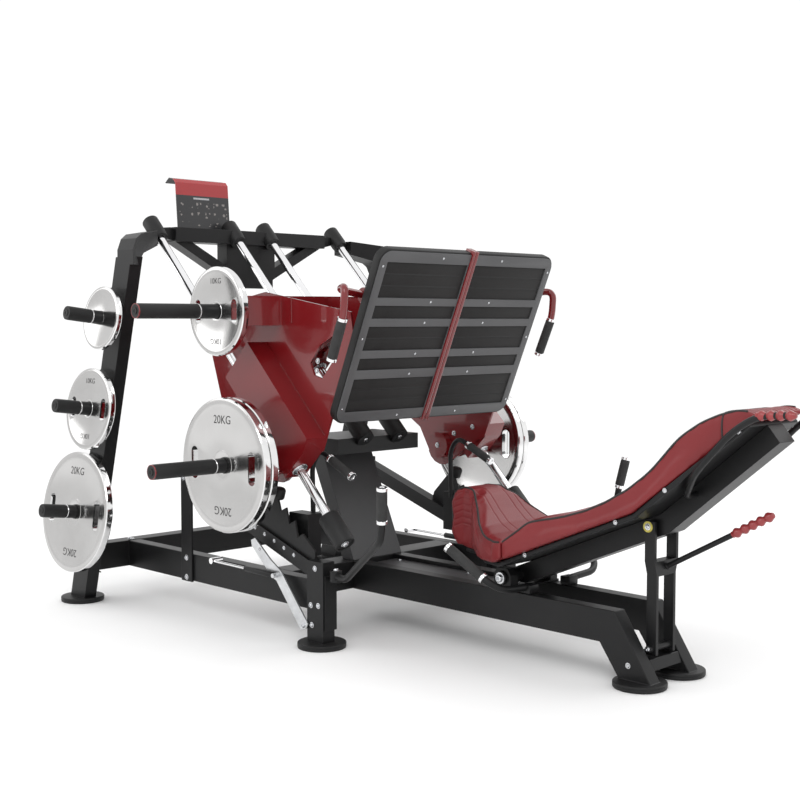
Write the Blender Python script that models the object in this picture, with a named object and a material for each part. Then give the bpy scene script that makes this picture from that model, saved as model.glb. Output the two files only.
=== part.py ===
"""Iso-lateral 45 degree plate-loaded leg press: two carriages on chrome guide rods, a reclining seat,
plate storage horns and safety linkages. Metres, +Z up, head of the seat towards +X, user's left at -Y."""
import math

import bmesh
import bpy
from mathutils import Matrix, Vector

for old in list(bpy.data.objects):
    bpy.data.objects.remove(old, do_unlink=True)

# ---- driving dimensions (metres) ----
GAP = 0.0003              # clearance kept between separate pieces
DATUM_X = 0.1413          # layout datum to the middle of the footprint
ROD_SUM = 0.214           # x + z of the plane that holds all four 45 degree rods
ROD_R = 0.0155
ROD_OUT_Y = 0.451
ROD_IN_Y = 0.085
ROD_TOP = -1.815          # distances along the rods, (x - z) / sqrt 2
ROD_OUT_LOW = -0.462
ROD_IN_LOW = -0.79
SLEEVE_LOW = -0.665
SLEEVE_TOP = -1.125
RAIL_Z0, RAIL_Z1 = 0.115, 0.215
REAR_RAIL_Y0, REAR_RAIL_Y1 = 0.405, 0.455
FRONT_RAIL_Y0, FRONT_RAIL_Y1 = 0.075, 0.125
UPRIGHT_Y0, UPRIGHT_Y1 = 0.61, 0.66
UPRIGHT_LEAN = 0.271      # run over rise
UPRIGHT_FOOT_X = -1.441
PEG_R = 0.0243
PEG_TIP_Y = 0.931
LOW_PEG = (-0.520, 0.593)
UP_PEG = (-0.600, 1.1025)
PLATE_BORE_R = 0.0252
FOOT_TOP = (-0.128, 0.9608, math.radians(67.1))   # point on the footplate face and its angle
FOOT_S0, FOOT_S1 = -0.249, 0.362
SEAT_PIVOT = (0.240, 0.252)
LINK_TOP = (0.752, 0.452)
LINK_FOOT = (0.775, 0.105)
STOP_PIVOT = (-0.305, 0.066)

parts = bpy.data.collections.new("leg_press")
bpy.context.scene.collection.children.link(parts)
R2 = math.sqrt(0.5)


def material(name, colour, rough, metal):
    m = bpy.data.materials.new(name)
    m.use_nodes = True
    b = m.node_tree.nodes["Principled BSDF"]
    b.inputs["Base Color"].default_value = (*colour, 1.0)
    b.inputs["Roughness"].default_value = rough
    b.inputs["Metallic"].default_value = metal
    return m


BLACK = ("black_powder", (0.025, 0.025, 0.027), 0.42, 0.0)
RED = ("red_gloss_paint", (0.22, 0.008, 0.012), 0.22, 0.0)
CHROME = ("chrome", (0.75, 0.75, 0.76), 0.12, 1.0)
STEEL = ("plate_steel", (0.62, 0.62, 0.63), 0.3, 1.0)
ZINC = ("bright_zinc", (0.66, 0.67, 0.69), 0.3, 1.0)
RUBBER = ("black_rubber", (0.018, 0.018, 0.019), 0.62, 0.0)
VINYL = ("red_vinyl", (0.26, 0.025, 0.028), 0.4, 0.0)
GREY = ("grey_frame", (0.09, 0.09, 0.092), 0.5, 0.0)


def finish(mesh, name, look):
    """A named object from a finished mesh, with its own material."""
    bm = bmesh.new()
    bm.from_mesh(mesh)
    bmesh.ops.remove_doubles(bm, verts=bm.verts, dist=0.00002)
    bmesh.ops.recalc_face_normals(bm, faces=bm.faces)
    bm.to_mesh(mesh)
    bm.free()
    ob = bpy.data.objects.new(name, mesh)
    mesh.name = name
    mesh.materials.clear()
    mesh.materials.append(material(name + "_" + look[0], *look[1:]))
    parts.objects.link(ob)
    return ob


def curve_mesh(curve, matrix):
    ob = bpy.data.objects.new("guide", curve)
    bpy.context.scene.collection.objects.link(ob)
    bpy.context.view_layer.update()
    mesh = bpy.data.meshes.new_from_object(ob.evaluated_get(bpy.context.evaluated_depsgraph_get()))
    mesh.transform(matrix)
    bpy.data.objects.remove(ob, do_unlink=True)
    return mesh


def slab_mesh(loops, y0, y1, plane="xz"):
    """A flat outline with holes, standing in a plane and thickened across it."""
    curve = bpy.data.curves.new("outline", "CURVE")
    curve.dimensions = "2D"
    curve.fill_mode = "BOTH"
    curve.extrude = abs(y1 - y0) / 2
    for loop in loops:
        s = curve.splines.new("POLY")
        s.points.add(len(loop) - 1)
        for p, (a, b) in zip(s.points, loop):
            p.co = (a, b, 0, 1)
        s.use_cyclic_u = True
    mid = (y0 + y1) / 2
    turn = {
        "xz": Matrix.Translation((0, mid, 0)) @ Matrix.Rotation(math.pi / 2, 4, "X"),
        "xy": Matrix.Translation((0, 0, mid)),
        "yz": Matrix.Translation((mid, 0, 0)) @ Matrix(((0, 0, 1, 0), (1, 0, 0, 0), (0, 1, 0, 0), (0, 0, 0, 1))),
    }[plane]
    return curve_mesh(curve, turn)


def ring(cx, cy, r, n=24, start=0.0):
    return [(cx + r * math.cos(start + i * math.tau / n), cy + r * math.sin(start + i * math.tau / n))
            for i in range(n)]


def slot(cx, cy, half_len, half_wid, n=6):
    """A vertical round-ended slot."""
    out = []
    for i in range(n + 1):
        t = math.pi * i / n
        out.append((cx + half_wid * math.cos(t), cy + half_len - half_wid + half_wid * math.sin(t)))
    for i in range(n + 1):
        t = math.pi + math.pi * i / n
        out.append((cx + half_wid * math.cos(t), cy - half_len + half_wid + half_wid * math.sin(t)))
    return out


def box_mesh(x0, x1, y0, y1, z0, z1):
    bm = bmesh.new()
    bmesh.ops.create_cube(bm, size=1.0)
    bmesh.ops.scale(bm, vec=(abs(x1 - x0), abs(y1 - y0), abs(z1 - z0)), verts=bm.verts)
    bmesh.ops.translate(bm, vec=((x0 + x1) / 2, (y0 + y1) / 2, (z0 + z1) / 2), verts=bm.verts)
    me = bpy.data.meshes.new("box")
    bm.to_mesh(me)
    bm.free()
    return me


def cyl_mesh(a, b, r, n=20):
    a, b = Vector(a), Vector(b)
    bm = bmesh.new()
    bmesh.ops.create_cone(bm, cap_ends=True, segments=n, radius1=r, radius2=r, depth=(b - a).length)
    me = bpy.data.meshes.new("cyl")
    bm.to_mesh(me)
    bm.free()
    me.transform(Matrix.Translation((a + b) / 2) @ (b - a).to_track_quat("Z", "Y").to_matrix().to_4x4())
    return me


def rounded(points, bend, steps=4):
    """The route through points with each corner rounded over the distance bend."""
    pts = [Vector(p) for p in points]
    out = [pts[0]]
    for p, q, s in zip(pts, pts[1:], pts[2:]):
        d = min(bend, (q - p).length * 0.48, (s - q).length * 0.48)
        a = q + (p - q).normalized() * d
        b = q + (s - q).normalized() * d
        for i in range(steps + 1):
            t = i / steps
            out.append((1 - t) ** 2 * a + 2 * t * (1 - t) * q + t * t * b)
    out.append(pts[-1])
    return out


def pipe_mesh(points, r, bend=0.03, steps=4, res=2):
    curve = bpy.data.curves.new("route", "CURVE")
    curve.dimensions = "3D"
    curve.bevel_depth = r
    curve.bevel_resolution = res
    curve.use_fill_caps = True
    route = rounded(points, bend, steps)
    s = curve.splines.new("POLY")
    s.points.add(len(route) - 1)
    for p, q in zip(s.points, route):
        p.co = (*q, 1)
    return curve_mesh(curve, Matrix.Identity(4))


def along(s, h=0.0, total=ROD_SUM):
    """x, z of a point s along the rods and h above their plane."""
    return (total / 2 + s * R2 + h * R2, total / 2 - s * R2 + h * R2)


def rod_box(s0, s1, h0, h1, y0, y1):
    return slab_mesh([[along(s0, h0), along(s1, h0), along(s1, h1), along(s0, h1)]], y0, y1)


def beam_mesh(p, q, y0, y1, depth):
    """A straight rectangular tube from p to q in the x-z plane."""
    a, b = Vector(p), Vector(q)
    n = Vector((-(b - a).y, (b - a).x)).normalized() * depth / 2
    return slab_mesh([[a - n, b - n, b + n, a + n]], y0, y1)


def offset_line(pts, d):
    """The polyline moved d to its right (below, going towards +x), mitred at its corners."""
    pts = [Vector(p) for p in pts]
    out = []
    for i, p in enumerate(pts):
        a = (p - pts[i - 1]).normalized() if i else (pts[1] - p).normalized()
        b = (pts[i + 1] - p).normalized() if i < len(pts) - 1 else a
        na, nb = Vector((a.y, -a.x)), Vector((b.y, -b.x))
        m = (na + nb).normalized()
        out.append(p + m * d / max(0.2, m.dot(na)))
    return out


def boolean(ob, meshes, operation):
    """Joins meshes to, or cuts them from, an object."""
    for me in meshes:
        bm = bmesh.new()
        bm.from_mesh(me)
        bmesh.ops.remove_doubles(bm, verts=bm.verts, dist=0.00002)
        bmesh.ops.recalc_face_normals(bm, faces=bm.faces)
        bm.to_mesh(me)
        bm.free()
        other = bpy.data.objects.new("tool", me)
        bpy.context.scene.collection.objects.link(other)
        mod = ob.modifiers.new("b", "BOOLEAN")
        mod.operation = operation
        mod.solver = "EXACT"
        mod.object = other
        bpy.context.view_layer.update()
        new = bpy.data.meshes.new_from_object(ob.evaluated_get(bpy.context.evaluated_depsgraph_get()))
        mats = [m for m in ob.data.materials]
        ob.modifiers.clear()
        ob.data = new
        new.materials.clear()
        new.materials.append(mats[0])
        bpy.data.objects.remove(other, do_unlink=True)
    return ob


def join(ob, *meshes):
    return boolean(ob, meshes, "UNION")


def cut(ob, *meshes):
    return boolean(ob, meshes, "DIFFERENCE")


def other_side(ob, name):
    """The same piece on the user's right, mirrored across the middle plane."""
    me = ob.data.copy()
    me.transform(Matrix.Diagonal((1, -1, 1, 1)))
    me.flip_normals()
    look = ob.data.materials[0].node_tree.nodes["Principled BSDF"].inputs
    spec = ("r", tuple(look["Base Color"].default_value)[:3], look["Roughness"].default_value,
            look["Metallic"].default_value)
    return finish(me, name, spec)


def pair(stem, ob):
    ob.name = stem + "_l"
    ob.data.name = ob.name
    return ob, other_side(ob, stem + "_r")


# ---- fixed frame ----
finish(box_mesh(-1.465, -1.395 - GAP, -0.61 + GAP, 0.61 - GAP, RAIL_Z0, RAIL_Z1), "rear_crossbar", BLACK)
rail = box_mesh(-1.395, -0.295 - GAP, -REAR_RAIL_Y1, -REAR_RAIL_Y0, RAIL_Z0, RAIL_Z1)
pair("rear_rail", finish(rail, "rear_rail_l", BLACK))
finish(box_mesh(-0.56, -0.46, -REAR_RAIL_Y0 + GAP, REAR_RAIL_Y0 - GAP, RAIL_Z0, RAIL_Z1), "mid_crossbar", BLACK)

# storage upright: leans 15 degrees, its top bent inwards and back to the top beam, with three plate horns
def up_x(z):
    return UPRIGHT_FOOT_X + UPRIGHT_LEAN * z


upright = finish(slab_mesh([[(up_x(0.018) - 0.05, 0.0175), (up_x(0.018) + 0.05, 0.0175),
                             (up_x(1.30) + 0.05, 1.30), (up_x(1.30) - 0.05, 1.30)]],
                           -UPRIGHT_Y1, -UPRIGHT_Y0), "upright_l", BLACK)
bend_yz = [(-0.66, 1.27), (-0.61, 1.27), (-0.6, 1.30), (-0.585, 1.315), (-0.482, 1.348), (-0.482, 1.403),
           (-0.60, 1.385), (-0.635, 1.365), (-0.66, 1.325)]
top_bend = slab_mesh([bend_yz], -0.052, 0.052, "yz")
shear = Matrix.Identity(4)
shear[0][1] = -0.62
top_bend.transform(Matrix.Translation((up_x(1.29) - 0.62 * 0.635, 0, 0)) @ shear)
foot = cyl_mesh((UPRIGHT_FOOT_X, -0.635, 0.0), (UPRIGHT_FOOT_X, -0.635, 0.018), 0.08, 32)
horns = []
for z in (0.36, 0.75, 1.081):
    x = up_x(z)
    horns.append(cyl_mesh((x, -0.64, z - 0.010), (x, -0.692, z - 0.003), 0.042, 20))
    horns.append(cyl_mesh((x, -0.64, z - 0.010), (x, -0.857, z + 0.018), PEG_R, 20))
join(upright, top_bend, foot, *horns)
pair("upright", upright)

# centre post with its round foot; the stop lever's pin boss is low on its outer face
post = finish(box_mesh(-0.295, -0.215, -0.48, -0.43, 0.0175, 0.285), "center_post_l", BLACK)
join(post, cyl_mesh((-0.250, -0.455, 0.0), (-0.250, -0.455, 0.018), 0.08, 32),
     box_mesh(-0.216, -0.209, -0.475, -0.425, 0.06, 0.24))
pair("center_post", post)

# front rails run forward and then slant down to their round feet
rail_outline = [(-0.46 + GAP, RAIL_Z1), (-0.46 + GAP, RAIL_Z0), (0.63, RAIL_Z0), (0.70, 0.0175),
                (0.815, 0.0175), (0.685, RAIL_Z1)]
front = finish(slab_mesh([rail_outline], -FRONT_RAIL_Y1, -FRONT_RAIL_Y0), "front_rail_l", BLACK)
join(front, cyl_mesh((0.7605, -0.1008, 0.0), (0.7605, -0.1008, 0.018), 0.08, 32))
pair("front_rail", front)
inner = FRONT_RAIL_Y0 - GAP
finish(box_mesh(-0.44, 0.12, -inner, inner, 0.197, 0.201), "deck_plate", GREY)
finish(slab_mesh([[(0.70, 0.045), (0.79, 0.045), (0.775, 0.078), (0.685, 0.078)]], -inner, inner),
       "front_tie", BLACK)

# inclined centre panel and the low bar that carries the inner rods
finish(slab_mesh([[(-0.46, RAIL_Z1 + GAP), (-0.52, RAIL_Z1 + GAP), (-0.70, 0.60 - GAP), (-0.63, 0.60 - GAP)]],
                 -0.12, 0.12), "front_panel", GREY)
low_bar = finish(box_mesh(-0.70, -0.455, -0.2, 0.2, 0.60, 0.655), "rod_bar_low", BLACK)
sockets, bores = [], []
for y in (-ROD_IN_Y, ROD_IN_Y):
    a, b = along(-0.93), along(-0.765)
    sockets.append(cyl_mesh((a[0], y, a[1]), (b[0], y, b[1]), 0.033, 20))
    a, b = along(-0.96), along(ROD_IN_LOW + GAP)
    bores.append(cyl_mesh((a[0], y, a[1]), (b[0], y, b[1]), ROD_R + GAP, 20))
join(low_bar, *sockets)
cut(low_bar, *bores)

# top beam with its V braces and centre block, and the four rod sockets
side_line = [(0.43, 1.420), (0.43, 1.387), (0.365, 1.372), (0.11, 1.235), (0.11, 1.20)]
outline = side_line + [(-y, z) for y, z in side_line[::-1]]
window = [(0.285, 1.372), (0.12, 1.285), (0.12, 1.372)]
beam = finish(slab_mesh([outline, window, [(-y, z) for y, z in window]], -1.258, -1.194, "yz"), "top_beam", BLACK)
join(beam, box_mesh(-1.277, -1.175, -0.372, 0.372, 1.3705, 1.4245))
bores = []
for y in (-ROD_OUT_Y, -ROD_IN_Y, ROD_IN_Y, ROD_OUT_Y):
    a, b = along(-1.89), along(-1.795)
    join(beam, cyl_mesh((a[0], y, a[1]), (b[0], y, b[1]), 0.0285, 20))
    a, b = along(ROD_TOP - GAP), along(-1.4)
    bores.append(cyl_mesh((a[0], y, a[1]), (b[0], y, b[1]), ROD_R + GAP, 20))
for bore in bores:
    cut(beam, bore)

# guide rods; the outer ones end in their stop collars
for name, y, low in (("rod_outer", -ROD_OUT_Y, -0.405), ("rod_inner", -ROD_IN_Y, ROD_IN_LOW)):
    a, b = along(ROD_TOP), along(low)
    guide = finish(cyl_mesh((a[0], y, a[1]), (b[0], y, b[1]), ROD_R, 20), name + "_l", CHROME)
    if name == "rod_outer":
        a, b = along(ROD_OUT_LOW), along(-0.345)
        join(guide, cyl_mesh((a[0], y, a[1]), (b[0], y, b[1]), 0.036, 24))
    pair(name, guide)

# vertical straps on each side of the rear rail, and the sloping beam they hold
pair("strut_outer", finish(box_mesh(-1.03, -0.965, -0.464, -0.4553, 0.112, 0.51), "strut_outer_l", BLACK))
sloped = finish(beam_mesh((-1.03, 0.492), (-0.296, 0.245), -0.4547, -0.405, 0.05), "sloping_beam_l", BLACK)
rack = [(-0.62, 0.34), (-0.30, 0.25), (-0.285, 0.30), (-0.36, 0.36), (-0.385, 0.345), (-0.40, 0.40),
        (-0.43, 0.385), (-0.445, 0.44), (-0.475, 0.425), (-0.49, 0.47), (-0.53, 0.47), (-0.60, 0.40)]
join(sloped, slab_mesh([rack], -0.444, -0.436),
     box_mesh(-0.47, -0.37, -0.41, -0.352, 0.275, 0.42))
cut(sloped, box_mesh(-0.2953, -0.10, -0.50, -0.40, 0.0, 0.40))
pair("sloping_beam", sloped)

# placard on the top beam: a folded sheet hooked back over its top edge
sign = finish(slab_mesh([[(-1.262, 1.4250), (-1.258, 1.4250), (-1.272, 1.605), (-1.284, 1.619),
                          (-1.317, 1.625), (-1.342, 1.607), (-1.338, 1.604), (-1.315, 1.621),
                          (-1.286, 1.6145), (-1.276, 1.603)]], -0.305, -0.055), "placard", GREY)

# ---- carriages: each slides on its own outer and inner rod ----
plate_outline = [(-0.90, 1.02), (-0.905, 0.942), (-0.85, 0.785), (-0.64, 0.655), (-0.585, 0.56)]
for i in range(7):
    t = math.radians(200 + i * 20)
    plate_outline.append((LOW_PEG[0] + 0.078 * math.cos(t), LOW_PEG[1] + 0.078 * math.sin(t)))
plate_outline += [(-0.38, 0.60), (-0.26, 0.66), (-0.185, 0.76), (-0.125, 0.90), (-0.16, 1.10), (-0.60, 1.17), (-0.72, 1.15)]
window = [(-0.36, 0.93), (-0.34, 0.89), (-0.30, 0.88), (-0.245, 0.94), (-0.225, 1.0), (-0.25, 1.02),
          (-0.31, 0.99)]
car = finish(slab_mesh([plate_outline, window], -0.4065, -0.398), "carriage_frame_l", RED)
low_a, low_b = (LOW_PEG[0], -0.372, LOW_PEG[1]), (LOW_PEG[0], -0.59, LOW_PEG[1])
up_a, up_b = (UP_PEG[0], -0.36, UP_PEG[1]), (UP_PEG[0], -0.585, UP_PEG[1])
pieces = [
    rod_box(SLEEVE_TOP, SLEEVE_LOW, -0.04, 0.135, -0.49, -0.405),
    cyl_mesh(low_a, low_b, 0.05, 24),
    cyl_mesh(up_a, up_b, 0.05, 24),
    cyl_mesh((LOW_PEG[0], -0.5, LOW_PEG[1]), (LOW_PEG[0], -PEG_TIP_Y, LOW_PEG[1]), PEG_R, 24),
    cyl_mesh((UP_PEG[0], -0.5, UP_PEG[1]), (UP_PEG[0], -PEG_TIP_Y, UP_PEG[1]), PEG_R, 24),
    slab_mesh([[(-0.655, -0.55), (-0.55, -0.55), (-0.45, -0.20), (-0.45, -0.05), (-0.60, -0.05), (-0.655, -0.3)]],
              1.055, 1.155, "xy"),
    slab_mesh([[(-0.46, 1.06), (-0.185, 0.80), (-0.110, 0.99), (-0.05, 1.14), (-0.46, 1.15)]], -0.24, -0.19),
    rod_box(-1.30, -1.12, -0.034, 0.05, -0.125, -0.045),
    slab_mesh([[along(-1.27, 0.04), along(-1.15, 0.04), (-0.52, 1.06), (-0.52, 1.15), (-0.62, 1.15)]],
              -0.10, -0.07),
]
join(car, *pieces)
a, b = along(-1.5), along(-0.3)
cut(car, cyl_mesh((a[0], -ROD_OUT_Y, a[1]), (b[0], -ROD_OUT_Y, b[1]), ROD_R + 0.0012, 20),
    cyl_mesh((a[0], -ROD_IN_Y, a[1]), (b[0], -ROD_IN_Y, b[1]), ROD_R + 0.0012, 20))

# footplate half: tray with a flanged inner edge; its back face rests on the carriage arm
fx, fz, fa = FOOT_TOP
ux, uz = math.cos(fa), math.sin(fa)
nx, nz = -uz, ux


def on_foot(s, back):
    return (fx + s * ux + back * nx, fz + s * uz + back * nz)


def foot_slab(s0, s1, b0, b1, y0, y1):
    return slab_mesh([[on_foot(s0, b0), on_foot(s1, b0), on_foot(s1, b1), on_foot(s0, b1)]], y0, y1)


half = finish(foot_slab(FOOT_S0, FOOT_S1, 0.0, 0.034, -0.425, -0.012), "footplate_l", RUBBER)
join(half, foot_slab(FOOT_S0 - 0.004, FOOT_S1 + 0.006, -0.004, 0.034, -0.0125, -0.0015))
cut(car, foot_slab(-0.5, 0.6, -0.1, 0.0343, -0.6, 0.1))
pair("carriage_frame", car)
pair("footplate", half)

# bent side handle, carried on the back of the footplate
hx = on_foot(0.18, 0.06)
route = [(hx[0] - 0.03, -0.30, hx[1]), (hx[0] - 0.03, -0.470, hx[1] + 0.02), (-0.068, -0.512, 1.180),
         (-0.076, -0.5135, 1.084), (-0.138, -0.5105, 0.940)]
side = finish(pipe_mesh(route, 0.0125, 0.035, 3), "side_handle_l", RED)
join(side, cyl_mesh((-0.078, -0.5134, 1.080), (-0.136, -0.5106, 0.944), 0.0165, 16),
     box_mesh(hx[0] - 0.045, hx[0] - 0.012, -0.33, -0.26, hx[1] - 0.02, hx[1] + 0.02))
cut(side, foot_slab(-0.5, 0.6, -0.1, 0.0343, -0.4255, 0.1))
pair("side_handle", side)


def weight(name, x, z, y, radius, thick, slots, tilt=0.0):
    """A steel weight plate with its hole and hand slots, on a horn at x, z; slots is (offset, length, width)."""
    loops = [ring(0, 0, radius, 40), ring(0, 0, PLATE_BORE_R, 20, 0.02)]
    if slots:
        off, half_len, half_wid = slots
        loops += [slot(off, 0, half_len, half_wid), slot(-off, 0, half_len, half_wid)]
    me = slab_mesh(loops, -thick / 2, thick / 2)
    me.transform(Matrix.Translation((x, y, z)) @ Matrix.Rotation(tilt, 4, "X"))
    return finish(me, name, STEEL)


HORN_TILT = math.atan2(0.028, 0.217)
SLOTS_20 = (0.155, 0.055, 0.018)
SLOTS_10 = (0.100, 0.040, 0.0145)
for side, tag in ((-1, "l"), (1, "r")):
    weight("plate_low_a_" + tag, *LOW_PEG, side * 0.6075, 0.225, 0.030, SLOTS_20)
    weight("plate_low_b_" + tag, *LOW_PEG, side * 0.6385, 0.225, 0.030, SLOTS_20)
    weight("plate_up_" + tag, *UP_PEG, side * 0.6025, 0.150, 0.028, SLOTS_10)
for name, z, radius, thick, slots in (("store_20", 0.36, 0.225, 0.030, SLOTS_20),
                                      ("store_10", 0.75, 0.150, 0.026, SLOTS_10),
                                      ("store_5", 1.081, 0.115, 0.022, None)):
    run = 0.712 - 0.64
    weight(name, up_x(z), z - 0.010 + run * 0.129, -0.712, radius, thick, slots, -HORN_TILT)

# ---- seat: hinged beam, board and two cushions ----
line = [(0.20, 0.2823), (0.775, 0.52), (1.117, 0.80)]
top, bottom = offset_line(line, 0.0165), offset_line(line, 0.0765)
seat_beam = finish(slab_mesh([top + bottom[::-1]], -0.04, 0.04), "seat_beam", BLACK)
join(seat_beam, cyl_mesh((SEAT_PIVOT[0], -0.128, SEAT_PIVOT[1]), (SEAT_PIVOT[0], 0.128, SEAT_PIVOT[1]), 0.022, 20))
cut(seat_beam, box_mesh(0.15, 0.285, -0.1, 0.1, 0.15, 0.2285))
line = [(0.02, 0.3155), (0.279, 0.3155), (0.775, 0.52), (1.117, 0.80)]
top, bottom = offset_line(line, 0.0005), offset_line(line, 0.0160)
board = finish(slab_mesh([top + bottom[::-1]], -0.2, 0.2), "seat_board", BLACK)
plan = [(0.02, -0.05), (0.10, -0.07), (0.20, -0.16), (0.30, -0.19), (0.60, -0.18), (0.85, -0.165),
        (1.2, -0.12)]
boolean(board, [slab_mesh([plan + [(x, -y) for x, y in plan[::-1]]], 0.2, 1.0, "xy")], "INTERSECT")
profile = [(-0.045, 0.470), (-0.025, 0.508), (0.02, 0.525), (0.07, 0.524), (0.115, 0.494), (0.155, 0.45),
           (0.195, 0.413), (0.24, 0.392), (0.29, 0.386), (0.3148, 0.388), (0.3148, 0.336), (0.279, 0.3162),
           (0.04, 0.3162), (-0.02, 0.325), (-0.045, 0.36)]
seat = finish(slab_mesh([profile], -0.25, 0.25), "seat_cushion", VINYL)
plan = [(-0.06, -0.052), (0.03, -0.064), (0.08, -0.080), (0.13, -0.125), (0.17, -0.165), (0.22, -0.198),
        (0.28, -0.215), (0.34, -0.218)]
boolean(seat, [slab_mesh([plan + [(x, -y) for x, y in plan[::-1]]], 0.2, 0.7, "xy")], "INTERSECT")
profile = [(0.3158, 0.388), (0.37, 0.425), (0.42, 0.462), (0.47, 0.476), (0.551, 0.495), (0.63, 0.522),
           (0.698, 0.555), (0.768, 0.597), (0.812, 0.632), (0.852, 0.673), (0.885, 0.715), (0.917, 0.750),
           (0.981, 0.795), (1.027, 0.817), (1.089, 0.833), (1.135, 0.828), (1.145, 0.812),
           (1.117, 0.8007), (0.775, 0.5207), (0.3158, 0.3310)]
back = finish(slab_mesh([profile], -0.25, 0.25), "back_cushion", VINYL)
plan = [(0.30, -0.217), (0.42, -0.215), (0.60, -0.205), (0.80, -0.185), (0.92, -0.155), (1.02, -0.135),
        (1.16, -0.128)]
boolean(back, [slab_mesh([plan + [(x, -y) for x, y in plan[::-1]]], 0.2, 1.0, "xy")], "INTERSECT")

# looped head handles on the sides of the beam's upper leg
route = [(0.90, -0.0405, 0.575), (0.90, -0.085, 0.575), (0.985, -0.175, 0.655), (1.10, -0.178, 0.775),
         (1.175, -0.175, 0.822), (1.285, -0.172, 0.828)]
loop = finish(pipe_mesh(route, 0.0095, 0.045, 4), "head_handle_l", BLACK)
join(loop, cyl_mesh((1.175, -0.175, 0.8225), (1.285, -0.172, 0.828), 0.0135, 16))
pair("head_handle", loop)

# seat pivot bracket: two ears on a flat bar across both rails; and the fixed hand grips beside the seat
ear = [(0.205, RAIL_Z1 + 0.003), (0.275, RAIL_Z1 + 0.003), (0.275, 0.262), (0.262, 0.283), (0.218, 0.283),
       (0.205, 0.262)]
bracket = finish(box_mesh(0.203, 0.277, -0.124, 0.124, RAIL_Z1 + GAP, RAIL_Z1 + 0.006), "seat_bracket", BLACK)
join(bracket, slab_mesh([ear], -0.118, -0.082), slab_mesh([ear], 0.082, 0.118))
cut(bracket, cyl_mesh((SEAT_PIVOT[0], -0.2, SEAT_PIVOT[1]), (SEAT_PIVOT[0], 0.2, SEAT_PIVOT[1]), 0.0226, 20))
grip = finish(pipe_mesh([(0.338, -0.10, 0.234), (0.340, -0.225, 0.242), (0.315, -0.268, 0.266),
                         (0.172, -0.302, 0.366)], 0.0115, 0.03, 3), "seat_grip_l", BLACK)
join(grip, box_mesh(0.318, 0.358, -0.122, -0.078, RAIL_Z1 + GAP, 0.243),
     cyl_mesh((0.300, -0.2715, 0.2765), (0.172, -0.302, 0.366), 0.0165, 16))
pair("seat_grip", grip)

# recline link: a fork each side of the beam, joined by a block, with its foot pin; and its lever
fork = [(-0.062, 0.485), (-0.062, 0.365), (-0.050, 0.325), (-0.050, 0.085), (-0.038, 0.085), (-0.038, 0.320),
        (0.038, 0.320), (0.038, 0.085), (0.050, 0.085), (0.050, 0.325), (0.062, 0.365), (0.062, 0.485),
        (0.050, 0.485), (0.050, 0.365), (-0.050, 0.365), (-0.050, 0.485)]
link = finish(slab_mesh([fork], 0.745, 0.78, "yz"), "recline_link", BLACK)
join(link, cyl_mesh((LINK_FOOT[0] - 0.012, -0.066, LINK_FOOT[1]), (LINK_FOOT[0] - 0.012, 0.066, LINK_FOOT[1]), 0.011, 16))
lever = finish(cyl_mesh((0.78 + GAP, 0, 0.345), (1.015, 0, 0.474), 0.008, 16), "recline_lever", BLACK)
join(lever, cyl_mesh((1.003, 0, 0.4674), (1.128, 0, 0.536), 0.0145, 16))
cut(lever, box_mesh(0.70, 0.78 + GAP, -0.05, 0.05, 0.3, 0.4))

# ---- safety pieces on each side ----
swing = finish(pipe_mesh([(-0.183, -0.452, 0.243), (-0.11, -0.478, 0.243), (0.168, -0.586, 0.415),
                          (0.1765, -0.5885, 0.470), (0.1955, -0.606, 0.582)], 0.0115, 0.03, 3),
               "safety_handle_l", BLACK)
join(swing, cyl_mesh((0.1765, -0.5885, 0.470), (0.1955, -0.606, 0.582), 0.0165, 16),
     cyl_mesh((-0.183, -0.452, 0.224), (-0.183, -0.452, 0.262), 0.020, 20))
pair("safety_handle", swing)

lever_outline = ring(*STOP_PIVOT, 0.021, 16)
stop = finish(slab_mesh([[(-0.318, 0.049), (-0.290, 0.060), (-0.284, 0.075), (-0.422, 0.232), (-0.475, 0.262),
                          (-0.560, 0.328), (-0.583, 0.318), (-0.578, 0.298), (-0.470, 0.205), (-0.446, 0.196),
                          (-0.326, 0.058)]], -0.4875, -0.4815), "stop_lever_l", ZINC)
join(stop, cyl_mesh((-0.440, -0.485, 0.216), (-0.440, -0.5095, 0.216), 0.008, 12))
pair("stop_lever", stop)
gas = finish(cyl_mesh((-0.598, -0.4990, 0.2185), (-0.4490, -0.4990, 0.2165), 0.0105, 16), "gas_cylinder_l", BLACK)
cut(gas, cyl_mesh((-0.62, -0.4990, 0.21882), (-0.520, -0.4990, 0.21746), 0.0062, 16))
pair("gas_cylinder", gas)
rod = finish(cyl_mesh((-0.775, -0.4990, 0.2205), (-0.545, -0.4990, 0.2178), 0.0045, 12), "gas_rod_l", CHROME)
join(rod, cyl_mesh((-0.785, -0.4645, 0.2207), (-0.785, -0.5095, 0.2207), 0.011, 12))
pair("gas_rod", rod)
release = finish(pipe_mesh([(-0.42, -0.3440, 0.400), (-0.425, -0.3435, 0.58), (-0.385, -0.3435, 0.632),
                            (-0.219, -0.3440, 0.554)], 0.0095, 0.03, 4), "release_handle_l", BLACK)
join(release, cyl_mesh((-0.336, -0.3435, 0.609), (-0.219, -0.3440, 0.554), 0.0150, 16))
cut(release, box_mesh(-0.6, -0.2, -0.42, -0.3517, 0.2, 0.43))
pair("release_handle", release)

for ob in parts.objects:
    ob.data.transform(Matrix.Translation((DATUM_X, 0, 0)))

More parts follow.
